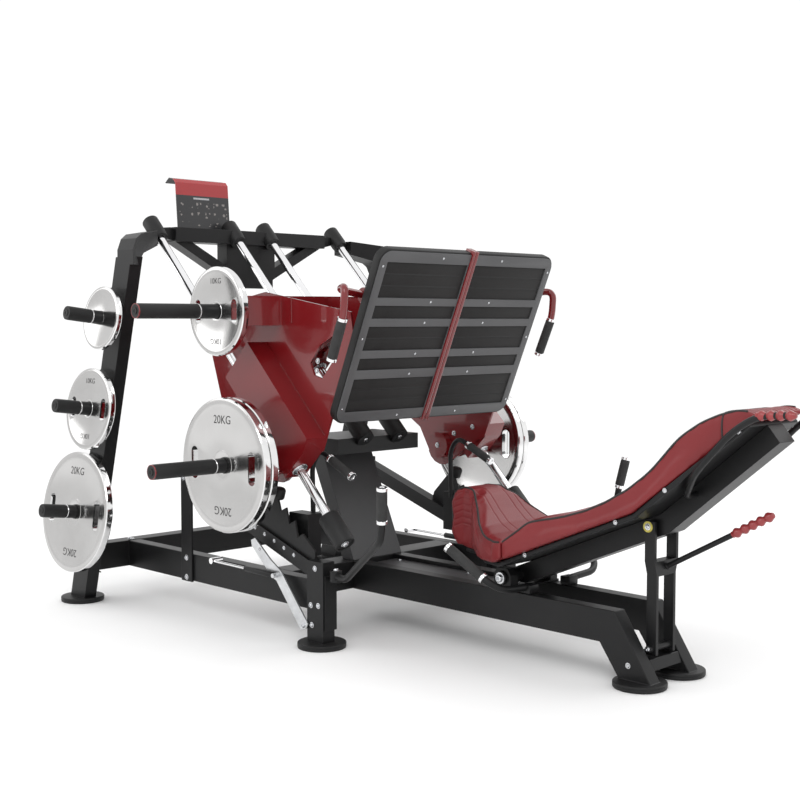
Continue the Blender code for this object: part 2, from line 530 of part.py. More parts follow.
# a moving piece has its origin on the axis that it slides along or turns about; x, y on the user's left, z
rod_mid = along(-0.895)
seat_axis = (SEAT_PIVOT[0], 0.0, SEAT_PIVOT[1])
origins = {
    "carriage_frame": (rod_mid[0], -ROD_OUT_Y, rod_mid[1]),
    "footplate": (rod_mid[0], -ROD_OUT_Y, rod_mid[1]),
    "side_handle": (rod_mid[0], -ROD_OUT_Y, rod_mid[1]),
    "plate_low_a": (LOW_PEG[0], -0.6075, LOW_PEG[1]),
    "plate_low_b": (LOW_PEG[0], -0.6385, LOW_PEG[1]),
    "plate_up": (UP_PEG[0], -0.6025, UP_PEG[1]),
    "safety_handle": (-0.183, -0.452, 0.243),
    "stop_lever": (STOP_PIVOT[0], -0.4845, STOP_PIVOT[1]),
    "gas_cylinder": (-0.440, -0.499, 0.216),
    "gas_rod": (-0.785, -0.499, 0.2207),
    "release_handle": (-0.420, -0.344, 0.400),
    "head_handle": seat_axis,
    "seat_beam": seat_axis,
    "seat_board": seat_axis,
    "seat_cushion": seat_axis,
    "back_cushion": seat_axis,
    "recline_link": (LINK_TOP[0], 0.0, LINK_TOP[1]),
    "recline_lever": (LINK_TOP[0], 0.0, LINK_TOP[1]),
}
for name, z in (("store_20", 0.36), ("store_10", 0.75), ("store_5", 1.081)):
    origins[name] = (up_x(z), -0.712, z - 0.010 + run * 0.129)
for ob in parts.objects:
    stem = ob.name[:-2] if ob.name[-2:] in ("_l", "_r") else ob.name
    if stem in origins:
        x, y, z = origins[stem]
        place = Vector((x + DATUM_X, -y if ob.name.endswith("_r") else y, z))
        ob.data.transform(Matrix.Translation(-place))
        ob.location = place
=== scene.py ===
import math

import bmesh
import bpy
from mathutils import Matrix, Vector
from mathutils.bvhtree import BVHTree


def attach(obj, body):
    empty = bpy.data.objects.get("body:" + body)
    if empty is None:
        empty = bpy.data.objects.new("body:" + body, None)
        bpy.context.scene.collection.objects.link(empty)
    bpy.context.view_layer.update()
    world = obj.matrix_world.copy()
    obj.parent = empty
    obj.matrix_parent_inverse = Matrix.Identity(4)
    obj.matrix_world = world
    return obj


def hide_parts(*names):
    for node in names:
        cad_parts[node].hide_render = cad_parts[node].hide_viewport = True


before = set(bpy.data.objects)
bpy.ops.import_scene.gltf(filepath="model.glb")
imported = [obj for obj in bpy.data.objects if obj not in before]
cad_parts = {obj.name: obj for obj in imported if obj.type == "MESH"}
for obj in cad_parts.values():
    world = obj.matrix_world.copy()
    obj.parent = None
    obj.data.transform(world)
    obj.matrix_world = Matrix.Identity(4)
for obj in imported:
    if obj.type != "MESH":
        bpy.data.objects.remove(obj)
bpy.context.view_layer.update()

# ---------------------------------------------------------------- showroom floor, camera and soft light
# A matt white floor under the machine, a normal lens at chest height in front of the user's left, and three
# large diffusers.
lens = bpy.data.cameras.new("view_camera")
lens.lens = 58.957
lens.sensor_width = 36.0
lens.clip_end = 200.0
camera = bpy.data.objects.new("view_camera", lens)
camera.location = (3.1113, -3.25172, 1.07392)
camera.rotation_euler = (math.pi / 2 - 0.0610764, 0.0, 0.79529)
bpy.context.scene.collection.objects.link(camera)
bpy.context.scene.camera = camera
bpy.context.scene.view_settings.view_transform = "Standard"

sky = bpy.data.worlds.new("studio")
bpy.context.scene.world = sky
sky.use_nodes = True
backdrop = sky.node_tree.nodes["Background"].inputs
backdrop["Color"].default_value = (1.0, 1.0, 1.0, 1.0)
backdrop["Strength"].default_value = 1.05
for name, stand, aim, size, watts in (("key", (2.6, -4.2, 4.6), (-0.2, 0, 0.6), 2.6, 80),
                                      ("fill", (-3.6, -3.4, 2.6), (-0.6, 0, 0.8), 2.4, 30),
                                      ("back", (1.0, 4.4, 4.2), (0.0, 0, 0.5), 3.0, 55)):
    lamp = bpy.data.lights.new(name, "AREA")
    lamp.size = size
    lamp.energy = watts
    ob = bpy.data.objects.new(name, lamp)
    ob.location = stand
    ob.rotation_euler = (Vector(aim) - Vector(stand)).to_track_quat("-Z", "Y").to_euler()
    bpy.context.scene.collection.objects.link(ob)


class Tone:
    """A socket in a finish, so that what varies over a surface is written as plain arithmetic."""

    def __init__(self, tree, link):
        self.tree = tree
        self.link = link

    def sum(self, kind, a, b):
        node = self.tree.nodes.new("ShaderNodeMath")
        node.operation = kind
        for socket, value in zip(node.inputs, (a, b)):
            if isinstance(value, Tone):
                self.tree.links.new(value.link, socket)
            else:
                socket.default_value = value
        return Tone(self.tree, node.outputs[0])

    def __add__(self, other): return self.sum("ADD", self, other)
    def __radd__(self, other): return self.sum("ADD", other, self)
    def __sub__(self, other): return self.sum("SUBTRACT", self, other)
    def __rsub__(self, other): return self.sum("SUBTRACT", other, self)
    def __mul__(self, other): return self.sum("MULTIPLY", self, other)
    def __rmul__(self, other): return self.sum("MULTIPLY", other, self)
    def __truediv__(self, other): return self.sum("DIVIDE", self, other)
    def __rtruediv__(self, other): return self.sum("DIVIDE", other, self)
    def __gt__(self, other): return self.sum("GREATER_THAN", self, other)
    def __lt__(self, other): return self.sum("LESS_THAN", self, other)


class Finish:
    """A surface finish for a material slot: a Principled shader with its constants, and what feeds it."""

    def __init__(self, name, slot, **constants):
        self.slot = slot
        self.mat = bpy.data.materials.new(name)
        self.mat.use_nodes = True
        self.tree = self.mat.node_tree
        self.skin = self.tree.nodes["Principled BSDF"]
        for socket, value in constants.items():
            self.skin.inputs[socket.replace("_", " ")].default_value = value
        self.spot = self.node("ShaderNodeTexCoord", out="Object")

    def node(self, kind, settings=None, inputs=None, out=0):
        node = self.tree.nodes.new(kind)
        for key, value in (settings or {}).items():
            if key == "stops":
                ramp = node.color_ramp
                while len(ramp.elements) > 2:
                    ramp.elements.remove(ramp.elements[-1])
                while len(ramp.elements) < len(value):
                    ramp.elements.new(0.5)
                for stop, (position, colour) in zip(ramp.elements, value):
                    stop.position = position
                    stop.color = colour
            else:
                setattr(node, key, value)
        for socket, value in (inputs or {}).items():
            if isinstance(value, Tone):
                self.tree.links.new(value.link, node.inputs[socket])
            else:
                node.inputs[socket].default_value = value
        return Tone(self.tree, node.outputs[out])

    def feed(self, **links):
        for socket, value in links.items():
            self.tree.links.new(value.link, self.skin.inputs[socket.replace("_", " ")])
        return self

    def noise(self, scale, detail=3.0, rough=0.55, at=None):
        return self.node("ShaderNodeTexNoise", inputs={"Vector": at or self.spot, "Scale": scale,
                                                       "Detail": detail, "Roughness": rough})

    def shades(self, amount, *stops):
        return self.node("ShaderNodeValToRGB", {"stops": [(p, (*c, 1.0)) for p, c in stops]},
                         {"Fac": amount})

    def mixed(self, amount, a, b):
        return self.node("ShaderNodeMix", {"data_type": "RGBA"}, {0: amount, 6: a, 7: b}, 2)

    def relief(self, height, depth, strength=1.0):
        return self.node("ShaderNodeBump",
                         inputs={"Height": height, "Distance": depth, "Strength": strength})

    def stretched(self, x, y, z):
        return self.node("ShaderNodeMapping", inputs={"Vector": self.spot, "Scale": (x, y, z)})


floor_size = 60.0
floor_finish = Finish("floor_paint", None, Roughness=0.85)
patch = floor_finish.noise(0.8, 4.0)
floor_finish.feed(Base_Color=floor_finish.shades(patch, (0.3, (0.965, 0.965, 0.965)),
                                                 (0.7, (0.98, 0.98, 0.98))),
                  Normal=floor_finish.relief(floor_finish.noise(180.0), 0.0004, 0.2))
bm = bmesh.new()
bmesh.ops.create_grid(bm, x_segments=24, y_segments=24, size=floor_size)
bmesh.ops.translate(bm, vec=(0, 0, -0.0006), verts=bm.verts)
floor_mesh = bpy.data.meshes.new("floor")
bm.to_mesh(floor_mesh)
bm.free()
floor_mesh.materials.append(floor_finish.mat)
floor = bpy.data.objects.new("floor", floor_mesh)
bpy.context.scene.collection.objects.link(floor)

# ---------------------------------------------------------------- floor frame of welded square tube
# 100 mm and 50 mm steel tube with small rolled edges, sawn, welded and powder coated satin black.
# Lengths are measured from the layout datum, 141.3 mm behind the middle of the footprint.
DATUM = 0.1413
FRAME_TUBES = ("rear_crossbar", "rear_rail_l", "rear_rail_r", "mid_crossbar", "center_post_l",
               "center_post_r", "front_rail_l", "front_rail_r", "front_tie", "strut_outer_l",
               "strut_outer_r")
SIDES = ((-1, "l"), (1, "r"))

powder = Finish("black_powder_coat", "black_powder", Coat_Weight=0.03, Coat_Roughness=0.32, IOR=1.34)
cloud = powder.noise(2.6, 5.0, 0.6)
grit = powder.noise(1400.0, 2.0)
scuff = powder.noise(34.0, 6.0, 0.7)
powder.feed(Base_Color=powder.shades(cloud * 0.8 + scuff * 0.2, (0.32, (0.006, 0.006, 0.0065)),
                                     (0.55, (0.009, 0.009, 0.0095)), (0.8, (0.014, 0.014, 0.0145))),
            Roughness=0.33 + cloud * 0.10 + scuff * 0.07,
            Normal=powder.relief(grit, 0.00012, 0.35))


def P(x, y, z):
    """A layout point as a point of the machine."""
    return Vector((x + DATUM, y, z))


def place(mesh, name, finish, body, soft=38.0, stands_for=()):
    """A finished piece: its mesh cleaned and lit smoothly up to an angle, riding on its body."""
    mesh.name = name
    mesh.materials.clear()
    mesh.materials.append(finish.mat)
    if soft is not None:
        mesh.shade_smooth()
        mesh.set_sharp_from_angle(angle=math.radians(soft))
    ob = bpy.data.objects.new(name, mesh)
    bpy.context.scene.collection.objects.link(ob)
    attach(ob, body)
    if stands_for:
        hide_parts(*stands_for)
    return ob


def tidy_mesh(bm, name="piece", merge=0.00001):
    """The bmesh as a closed mesh whose faces point outwards."""
    bmesh.ops.remove_doubles(bm, verts=bm.verts, dist=merge)
    bmesh.ops.recalc_face_normals(bm, faces=bm.faces)
    mesh = bpy.data.meshes.new(name)
    bm.to_mesh(mesh)
    bm.free()
    return mesh


def baked(ob):
    """The mesh of an object with its modifiers or its curve worked out."""
    bpy.context.view_layer.update()
    return bpy.data.meshes.new_from_object(ob.evaluated_get(bpy.context.evaluated_depsgraph_get()))


def eased(mesh, width, rounds=2, angle=28.0, flat_faces=False):
    """The mesh with its sharp edges rolled over; flat_faces keeps the large faces lit flat."""
    ob = bpy.data.objects.new("blank", mesh)
    bpy.context.scene.collection.objects.link(ob)
    roll = ob.modifiers.new("rolled_edges", "BEVEL")
    roll.width = width
    roll.segments = rounds
    roll.limit_method = "ANGLE"
    roll.angle_limit = math.radians(angle)
    roll.use_clamp_overlap = True
    if flat_faces:
        mesh.shade_smooth()
        lit = ob.modifiers.new("faces_lit_flat", "WEIGHTED_NORMAL")
        lit.weight = 100
    out = baked(ob)
    bpy.data.objects.remove(ob, do_unlink=True)
    return out


def dressed(node, finish, body, edge=0.0025, rounds=2):
    """A tube or plate as it is made: the solid's own faces, with its sawn edges rolled."""
    bm = bmesh.new()
    bm.from_mesh(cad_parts[node].data)
    bmesh.ops.remove_doubles(bm, verts=bm.verts, dist=0.00003)
    bmesh.ops.dissolve_limit(bm, angle_limit=math.radians(0.6), verts=bm.verts, edges=bm.edges)
    mesh = bpy.data.meshes.new(node)
    bm.to_mesh(mesh)
    bm.free()
    return place(eased(mesh, edge, rounds, flat_faces=True), node + "_coated", finish, body, None, (node,))


for node in FRAME_TUBES:
    dressed(node, powder, "frame", 0.0015 if "strut" in node else 0.003)

# ---------------------------------------------------------------- bolts, washers and caps set on points
# Zinc plated socket screws and domed bolts on flat washers. One pattern is repeated on each point, turned to
# face outwards.
zinc = Finish("bright_zinc_plate", "zinc", Metallic=1.0)
mottle = zinc.noise(160.0, 3.0)
zinc.feed(Base_Color=zinc.shades(mottle, (0.3, (0.58, 0.59, 0.61)), (0.7, (0.74, 0.75, 0.77))),
          Roughness=0.16 + mottle * 0.16)


def turned(profile, rounds=24, close=True):
    """A solid turned about +Z from (height, radius) pairs, ending on the axis where a radius is 0."""
    bm = bmesh.new()
    rings = []
    for z, r in profile:
        if r == 0:
            rings.append([bm.verts.new((0, 0, z))])
        else:
            rings.append([bm.verts.new((r * math.cos(i * math.tau / rounds),
                                        r * math.sin(i * math.tau / rounds), z)) for i in range(rounds)])
    for a, b in zip(rings, rings[1:]):
        for i in range(rounds):
            j = (i + 1) % rounds
            quad = [a[i % len(a)], a[j % len(a)], b[j % len(b)], b[i % len(b)]]
            corners = [v for k, v in enumerate(quad) if v not in quad[:k]]
            if len(corners) > 2:
                bm.faces.new(corners)
    if close:
        for end in (rings[0], rings[-1]):
            if len(end) > 1:
                bm.faces.new(end)
    return tidy_mesh(bm, "turned")


def aimed(mesh, start, towards):
    """The mesh with its foot at start and its +Z along towards."""
    turn = Vector(towards).to_track_quat("Z", "Y").to_matrix().to_4x4()
    mesh.transform(Matrix.Translation(Vector(start)) @ turn)
    return mesh


def pattern_tree():
    """Geometry nodes: a part set on each point, turned and sized by the point, as plain mesh."""
    tree = bpy.data.node_groups.new("repeat_on_points", "GeometryNodeTree")
    face = tree.interface
    face.new_socket("Geometry", in_out="INPUT", socket_type="NodeSocketGeometry")
    face.new_socket("Part", in_out="INPUT", socket_type="NodeSocketObject")
    face.new_socket("Finish", in_out="INPUT", socket_type="NodeSocketMaterial")
    face.new_socket("Size", in_out="INPUT", socket_type="NodeSocketFloat")
    face.new_socket("Geometry", in_out="OUTPUT", socket_type="NodeSocketGeometry")
    new = tree.nodes.new
    link = tree.links.new
    given = new("NodeGroupInput")
    result = new("NodeGroupOutput")
    part = new("GeometryNodeObjectInfo")
    facing = new("GeometryNodeInputNamedAttribute")
    facing.data_type = "FLOAT_VECTOR"
    facing.inputs["Name"].default_value = "facing"
    span = new("GeometryNodeInputNamedAttribute")
    span.data_type = "FLOAT_VECTOR"
    span.inputs["Name"].default_value = "span"
    align = new("FunctionNodeAlignRotationToVector")
    align.axis = "Z"
    sized = new("ShaderNodeVectorMath")
    sized.operation = "SCALE"
    spread = new("GeometryNodeInstanceOnPoints")
    real = new("GeometryNodeRealizeInstances")
    coat = new("GeometryNodeSetMaterial")
    link(given.outputs["Part"], part.inputs["Object"])
    link(facing.outputs["Attribute"], align.inputs["Vector"])
    link(span.outputs["Attribute"], sized.inputs[0])
    link(given.outputs["Size"], sized.inputs["Scale"])
    link(given.outputs["Geometry"], spread.inputs["Points"])
    link(part.outputs["Geometry"], spread.inputs["Instance"])
    link(align.outputs["Rotation"], spread.inputs["Rotation"])
    link(sized.outputs["Vector"], spread.inputs["Scale"])
    link(spread.outputs["Instances"], real.inputs["Geometry"])
    link(real.outputs["Geometry"], coat.inputs["Geometry"])
    link(given.outputs["Finish"], coat.inputs["Material"])
    link(coat.outputs["Geometry"], result.inputs["Geometry"])
    return tree


repeat = pattern_tree()


def repeated(points, part_mesh, name, finish, body, size=1.0, soft=40.0):
    """Points are (place, facing, span); the part is repeated on each and kept as one mesh."""
    part = bpy.data.objects.new(name + "_part", part_mesh)
    bpy.context.scene.collection.objects.link(part)
    seed = bpy.data.meshes.new(name + "_points")
    seed.from_pydata([tuple(p[0]) for p in points], [], [])
    for key, k in (("facing", 1), ("span", 2)):
        data = seed.attributes.new(key, "FLOAT_VECTOR", "POINT")
        for item, p in zip(data.data, points):
            value = p[k] if len(p) > k else (1, 1, 1)
            item.vector = (value, value, value) if isinstance(value, (int, float)) else tuple(value)
    ob = bpy.data.objects.new(name, seed)
    bpy.context.scene.collection.objects.link(ob)
    mod = ob.modifiers.new("repeat", "NODES")
    mod.node_group = repeat
    ids = {s.name: s.identifier for s in repeat.interface.items_tree if s.in_out == "INPUT"}
    mod[ids["Part"]] = part
    mod[ids["Finish"]] = finish.mat
    mod[ids["Size"]] = size
    mesh = baked(ob)
    bpy.data.objects.remove(ob, do_unlink=True)
    bpy.data.objects.remove(part, do_unlink=True)
    return place(mesh, name, finish, body, soft)


def screw_part():
    """A domed socket screw on its washer, 22 mm across at size 1."""
    return turned([(0.0, 0.0112), (0.0012, 0.0112), (0.0014, 0.0080), (0.0050, 0.0076), (0.0064, 0.0062),
                   (0.0066, 0.0036), (0.0030, 0.0034), (0.0030, 0.0)], 18)


def screws(points, name, body):
    """A zinc screw head on each (place, facing, size)."""
    return repeated(points, screw_part(), name, zinc, body)


above = (0, 0, 1)
frame_screws = []
for side, tag in SIDES:
    out = (0, side, 0)
    for x, z in ((-0.983, 0.492), (-1.012, 0.492), (-0.996, 0.128), (-0.996, 0.20)):
        frame_screws.append((P(x, side * 0.4642, z), out, 0.95))
    for x, z in ((-0.254, 0.262), (-0.275, 0.138), (-0.238, 0.141), (-0.270, 0.073)):
        frame_screws.append((P(x, side * 0.4802, z), out, 0.85))
    for x in (-0.40, -0.06, 0.09):
        frame_screws.append((P(x, side * 0.052, 0.2012), above, 0.7))
    for x in (-1.43, -1.41):
        frame_screws.append((P(x, side * 0.43, 0.2152), above, 0.8))
    frame_screws.append((P(0.735, side * 0.125, 0.062), out, 0.8))
    frame_screws.append((P(0.222, side * 0.020, 0.2212), above, 0.55))
    frame_screws.append((P(0.236, side * 0.066, 0.2212), above, 0.55))
screws(frame_screws, "frame_screws", "frame")

# ---------------------------------------------------------------- rubber floor feet
# Moulded black rubber discs, 160 mm across, glued under the six legs; two steps and a soft upper lip.
rubber = Finish("black_rubber", "rubber", IOR=1.40)
bloom = rubber.noise(9.0, 4.0)
grain = rubber.noise(900.0, 2.0)
rubber.feed(Base_Color=rubber.shades(bloom, (0.3, (0.006, 0.006, 0.006)), (0.75, (0.013, 0.013, 0.0135))),
            Roughness=0.44 + bloom * 0.16, Normal=rubber.relief(grain, 0.0002, 0.4))
FEET = [(-1.441, 0.635), (-0.250, 0.455), (0.7605, 0.1008)]
for k, (x, y) in enumerate(FEET):
    for side, tag in SIDES:
        disc = turned([(0.0002, 0.0), (0.0002, 0.0785), (0.0035, 0.0806), (0.0098, 0.0808), (0.0108, 0.0796),
                       (0.0118, 0.0796), (0.0126, 0.0808), (0.0162, 0.0806), (0.0184, 0.0786),
                       (0.0187, 0.074), (0.0187, 0.0)], 72)
        place(aimed(disc, P(x, side * y, 0), above), f"foot_{k + 1}_{tag}", rubber, "frame")

# ---------------------------------------------------------------- rear storage uprights, top beam
# 100 x 50 mm tube bent over at the top and welded to the V-braced top beam that carries the guide rods.
for node in ("upright_l", "upright_r"):
    dressed(node, powder, "frame", 0.003)
dressed("top_beam", powder, "frame", 0.003)


def bead_line(points, radius, name, finish, body, step=0.0042):
    """A hand-laid weld: overlapping scales along a line."""
    spots = []
    for a, b in zip(points, points[1:]):
        a, b = Vector(a), Vector(b)
        n = max(2, int((b - a).length / step))
        spots += [(a.lerp(b, i / n), (b - a).normalized(), 1.0) for i in range(n)]
    scale = turned([(-0.9 * radius, 0.0), (-0.6 * radius, 0.7 * radius), (0.0, radius),
                    (0.6 * radius, 0.75 * radius), (0.9 * radius, 0.0)], 8)
    return repeated(spots, scale, name, finish, body, 1.0, 60.0)


def ring_line(centre, axis, radius, n=40):
    """Points round a circle, for a weld or a stitch."""
    turn = Vector(axis).to_track_quat("Z", "Y").to_matrix()
    return [Vector(centre) + turn @ Vector((radius * math.cos(i * math.tau / n),
                                            radius * math.sin(i * math.tau / n), 0)) for i in range(n + 1)]


def up_x(z):
    return -1.441 + 0.271 * z


for side, tag in SIDES:
    x = up_x(0.165)
    bead_line([P(x - 0.05, side * 0.6098, 0.117), P(x + 0.048, side * 0.6098, 0.117)], 0.0028,
              f"crossbar_weld_{tag}", powder, "frame")
    bead_line([P(-1.3952, side * 0.405, 0.116), P(-1.3952, side * 0.405, 0.2145),
               P(-1.3952, side * 0.4545, 0.2148), P(-1.3952, side * 0.4552, 0.118)], 0.0028,
              f"rail_weld_{tag}", powder, "frame")
    bead_line([P(-1.226, side * 0.43, 1.418), P(-1.226, side * 0.36, 1.424)], 0.003, f"beam_weld_{tag}",
              powder, "frame")

# ---------------------------------------------------------------- guide rods with their moulded caps
# Hard-chromed ground shafting, 31 mm, held in black moulded caps at the top; the outer rods end in buffers with
# a screwed end, the inner ones in long sockets on the low bar.
chrome = Finish("hard_chrome", "chrome", Metallic=1.0)
streak = chrome.noise(30.0, 4.0, 0.6)
haze = chrome.noise(6.0, 3.0)
chrome.feed(Base_Color=chrome.shades(haze, (0.3, (0.80, 0.80, 0.81)), (0.7, (0.90, 0.90, 0.91))),
            Roughness=0.045 + streak * 0.05 + haze * 0.03)
R2 = math.sqrt(0.5)
DOWN = Vector((R2, 0, -R2))
OUTER_ROD_Y, INNER_ROD_Y = 0.451, 0.085
ROD_TOP = -1.815
ROD_RADIUS = 0.0155


def along(s, h=0.0, y=0.0):
    """A point s down the rods, h above their plane."""
    return P(0.107 + s * R2 + h * R2, y, 0.107 - s * R2 + h * R2)


for side, tag in SIDES:
    for name, y, low in (("outer", OUTER_ROD_Y, -0.405), ("inner", INNER_ROD_Y, -0.79)):
        length = low - ROD_TOP
        shaft = turned([(0.0, 0.0), (0.0, 0.0145), (0.001, ROD_RADIUS), (length - 0.001, ROD_RADIUS),
                        (length, 0.0145), (length, 0.0)], 64)
        place(aimed(shaft, along(ROD_TOP, 0, side * y), DOWN), f"guide_rod_{name}_{tag}", chrome, "frame",
              stands_for=(f"rod_{name}_{tag}",))
        cap = turned([(0.0, 0.0), (0.0, 0.0270), (0.003, 0.0302), (0.006, 0.0312), (0.080, 0.0312),
                      (0.083, 0.0300), (0.094, 0.0300), (0.0975, 0.0285), (0.0975, 0.0166), (0.070, 0.0166),
                      (0.070, 0.0)], 48)
        place(aimed(cap, along(ROD_TOP - 0.078, 0, side * y), DOWN), f"rod_cap_{name}_{tag}", rubber, "frame")
    lip = turned([(0.0, 0.0168), (0.0, 0.0340), (0.003, 0.0362), (0.098, 0.0362), (0.108, 0.0362),
                  (0.1165, 0.0335), (0.1170, 0.0300), (0.1120, 0.0285), (0.1120, 0.0)], 56)
    place(aimed(lip, along(-0.462, 0, side * OUTER_ROD_Y), DOWN), f"rod_buffer_outer_{tag}", rubber, "frame")
    lip = turned([(0.0, 0.0166), (0.0, 0.0310), (0.003, 0.0332), (0.150, 0.0332), (0.160, 0.0332),
                  (0.1645, 0.0310), (0.1650, 0.0270), (0.1600, 0.0255), (0.1600, 0.0)], 56)
    place(aimed(lip, along(-0.930, 0, side * INNER_ROD_Y), DOWN), f"rod_buffer_inner_{tag}", rubber, "frame")
ends = []
for side in (-1, 1):
    ends.append((along(-0.3502, 0, side * OUTER_ROD_Y), DOWN, 1.25))
    ends.append((along(-0.7702, 0, side * INNER_ROD_Y), DOWN, 1.15))
screws(ends, "buffer_screws", "frame")
dressed("rod_bar_low", powder, "frame", 0.003)

# ---------------------------------------------------------------- centre panel, deck plate
# Folded sheet steel covers, coated a slightly lighter charcoal, screwed between the rails.
charcoal = Finish("charcoal_powder_coat", "grey", Coat_Weight=0.12, Coat_Roughness=0.3)
cloud = charcoal.noise(3.0, 5.0, 0.6)
grit = charcoal.noise(1200.0, 2.0)
charcoal.feed(Base_Color=charcoal.shades(cloud, (0.3, (0.034, 0.034, 0.036)), (0.7, (0.050, 0.050, 0.052))),
              Roughness=0.40 + cloud * 0.12, Normal=charcoal.relief(grit, 0.00015, 0.35))
dressed("front_panel", charcoal, "frame", 0.0015)
dressed("deck_plate", charcoal, "frame", 0.0008)

# ---------------------------------------------------------------- placard hooked over the top beam
# 2 mm folded steel sheet; a red printed header, and a dark instruction panel with plain picture signs.
sign = Finish("placard_print", "grey", Coat_Weight=0.3, Coat_Roughness=0.15, Roughness=0.35)
xyz = sign.node("ShaderNodeSeparateXYZ", inputs={0: sign.spot}, out="Z")
acr = sign.node("ShaderNodeSeparateXYZ", inputs={0: sign.spot}, out="Y")
fwd = sign.node("ShaderNodeSeparateXYZ", inputs={0: sign.spot}, out="X")
front = fwd > (-1.272 + DATUM)
header = (xyz > 1.557) * (fwd > (-1.290 + DATUM))
speckle = sign.noise(240.0, 3.0)
row = sign.node("ShaderNodeMath", {"operation": "FRACT"}, {0: (xyz - 1.425) / 0.038})
col = sign.node("ShaderNodeMath", {"operation": "FRACT"}, {0: (acr + 0.303) / 0.041})
dots = sign.node("ShaderNodeTexVoronoi", {"feature": "F1"},
                 {"Vector": sign.stretched(0.2, 1.0, 1.0), "Scale": 62.0})
signs = (row > 0.22) * (row < 0.80) * (col > 0.2) * (col < 0.78) * (dots < 0.36)
signs = signs * (xyz < 1.538) * (xyz > 1.44)
title = (xyz > 1.543) * (xyz < 1.550) * (acr > -0.225) * (acr < -0.150) * front
base = sign.mixed(header, (0.012, 0.012, 0.014, 1), (0.36, 0.016, 0.020, 1))
base = sign.mixed(signs * front, base, (0.22, 0.20, 0.19, 1))
base = sign.mixed(title, base, (0.42, 0.42, 0.44, 1))
sign.feed(Base_Color=sign.mixed(speckle * 0.12, base, (0.0, 0.0, 0.0, 1)))
dressed("placard", sign, "frame", 0.0006, 1)

# ---------------------------------------------------------------- sloping side beams with locking racks
# Tube ends closed by black plastic caps; a screwed steel rack for the carriage's stop stands against each beam.
for node in ("sloping_beam_l", "sloping_beam_r"):
    dressed(node, powder, "frame", 0.0022)
for side, tag in SIDES:
    spots = [(P(-0.60 + 0.052 * k, side * 0.4545, 0.356 - 0.0175 * k), (0, side, 0), 0.6) for k in range(5)]
    screws(spots, f"rack_screws_{tag}", "frame")
    pad = turned([(0.0, 0.0), (0.0, 0.0185), (0.004, 0.0205), (0.030, 0.0205), (0.036, 0.017), (0.038, 0.0)],
                 32)
    place(aimed(pad, P(-0.49, side * 0.4405, 0.468), (0.35, 0, 1)), f"rack_bumper_{tag}", rubber, "frame")

# ---------------------------------------------------------------- carriages
# Laser-cut side plates, 85 mm square sleeves on the rods and cross beams, welded up, filled, and sprayed
# gloss dark red under clear lacquer. Flange bearings show at the sleeves' ends.
lacquer = Finish("gloss_red_lacquer", "red_gloss", Coat_Weight=0.65, Coat_Roughness=0.035, IOR=1.45)
flow = lacquer.noise(2.2, 3.0)
peel = lacquer.noise(150.0, 2.0)
flake = lacquer.noise(700.0, 2.0)
lacquer.feed(Base_Color=lacquer.shades(flow * 0.85 + flake * 0.15, (0.3, (0.150, 0.0055, 0.0075)),
                                       (0.7, (0.190, 0.0080, 0.0105))),
             Roughness=0.20 + flow * 0.08, Normal=lacquer.relief(peel, 0.00025, 0.10))
LOW_PEG, UP_PEG = (-0.520, 0.593), (-0.600, 1.1025)
PLATE_Y = 0.4067
for side, tag in SIDES:
    body = f"carriage_{tag}"
    out = (0, side, 0)
    dressed(f"carriage_frame_{tag}", lacquer, body, 0.0022)
    # a flange bearing ring at each end of each sleeve
    for s, y, way in ((-0.665, OUTER_ROD_Y, 1), (-1.125, OUTER_ROD_Y, -1), (-1.12, INNER_ROD_Y, 1),
                      (-1.30, INNER_ROD_Y, -1)):
        race = turned([(0.0, 0.0172), (0.0, 0.0275), (0.0025, 0.0280), (0.0040, 0.0268), (0.0044, 0.0225),
                       (0.0032, 0.0218), (0.0032, 0.0190), (0.0050, 0.0184), (0.0050, 0.0172)], 40, False)
        rod = "outer" if y > 0.2 else "inner"
        end = "low" if way > 0 else "top"
        place(aimed(race, along(s, 0.0, side * y) + DOWN * 0.0002 * way, DOWN * way),
              f"bearing_{rod}_{end}_{tag}", zinc, body)
    inward = (0, -side, 0)
    heads = [(P(-0.320, side * PLATE_Y, 0.938), out, 0.85), (P(-0.325, side * PLATE_Y, 0.905), out, 0.85),
             (P(-0.457, side * PLATE_Y, 0.640), out, 0.95), (P(-0.700, side * PLATE_Y, 0.760), out, 0.9),
             (P(-0.457, side * 0.3978, 0.640), inward, 0.95), (P(-0.361, side * 0.3978, 0.670), inward, 0.95),
             (P(-0.520, side * 0.3718, 0.593), inward, 0.9), (P(-0.600, side * 0.3598, 1.1025), inward, 0.9)]
    screws(heads, f"carriage_screws_{tag}", body)
    bead_line(ring_line(P(LOW_PEG[0], side * 0.4902, LOW_PEG[1]), out, 0.0512, 36), 0.0024,
              f"low_boss_weld_{tag}", lacquer, body)
    bead_line([P(-0.455, side * 0.4072, 1.150), P(-0.455, side * 0.4072, 1.060)], 0.0028, f"arm_weld_{tag}",
              lacquer, body)
    for name, s, h in (("low", -1.10, -0.0405), ("top", -1.02, 0.1355)):
        bead_line([along(s, h, side * 0.4072), along(-0.69, h, side * 0.4072)], 0.0024,
                  f"sleeve_weld_{name}_{tag}", lacquer, body)

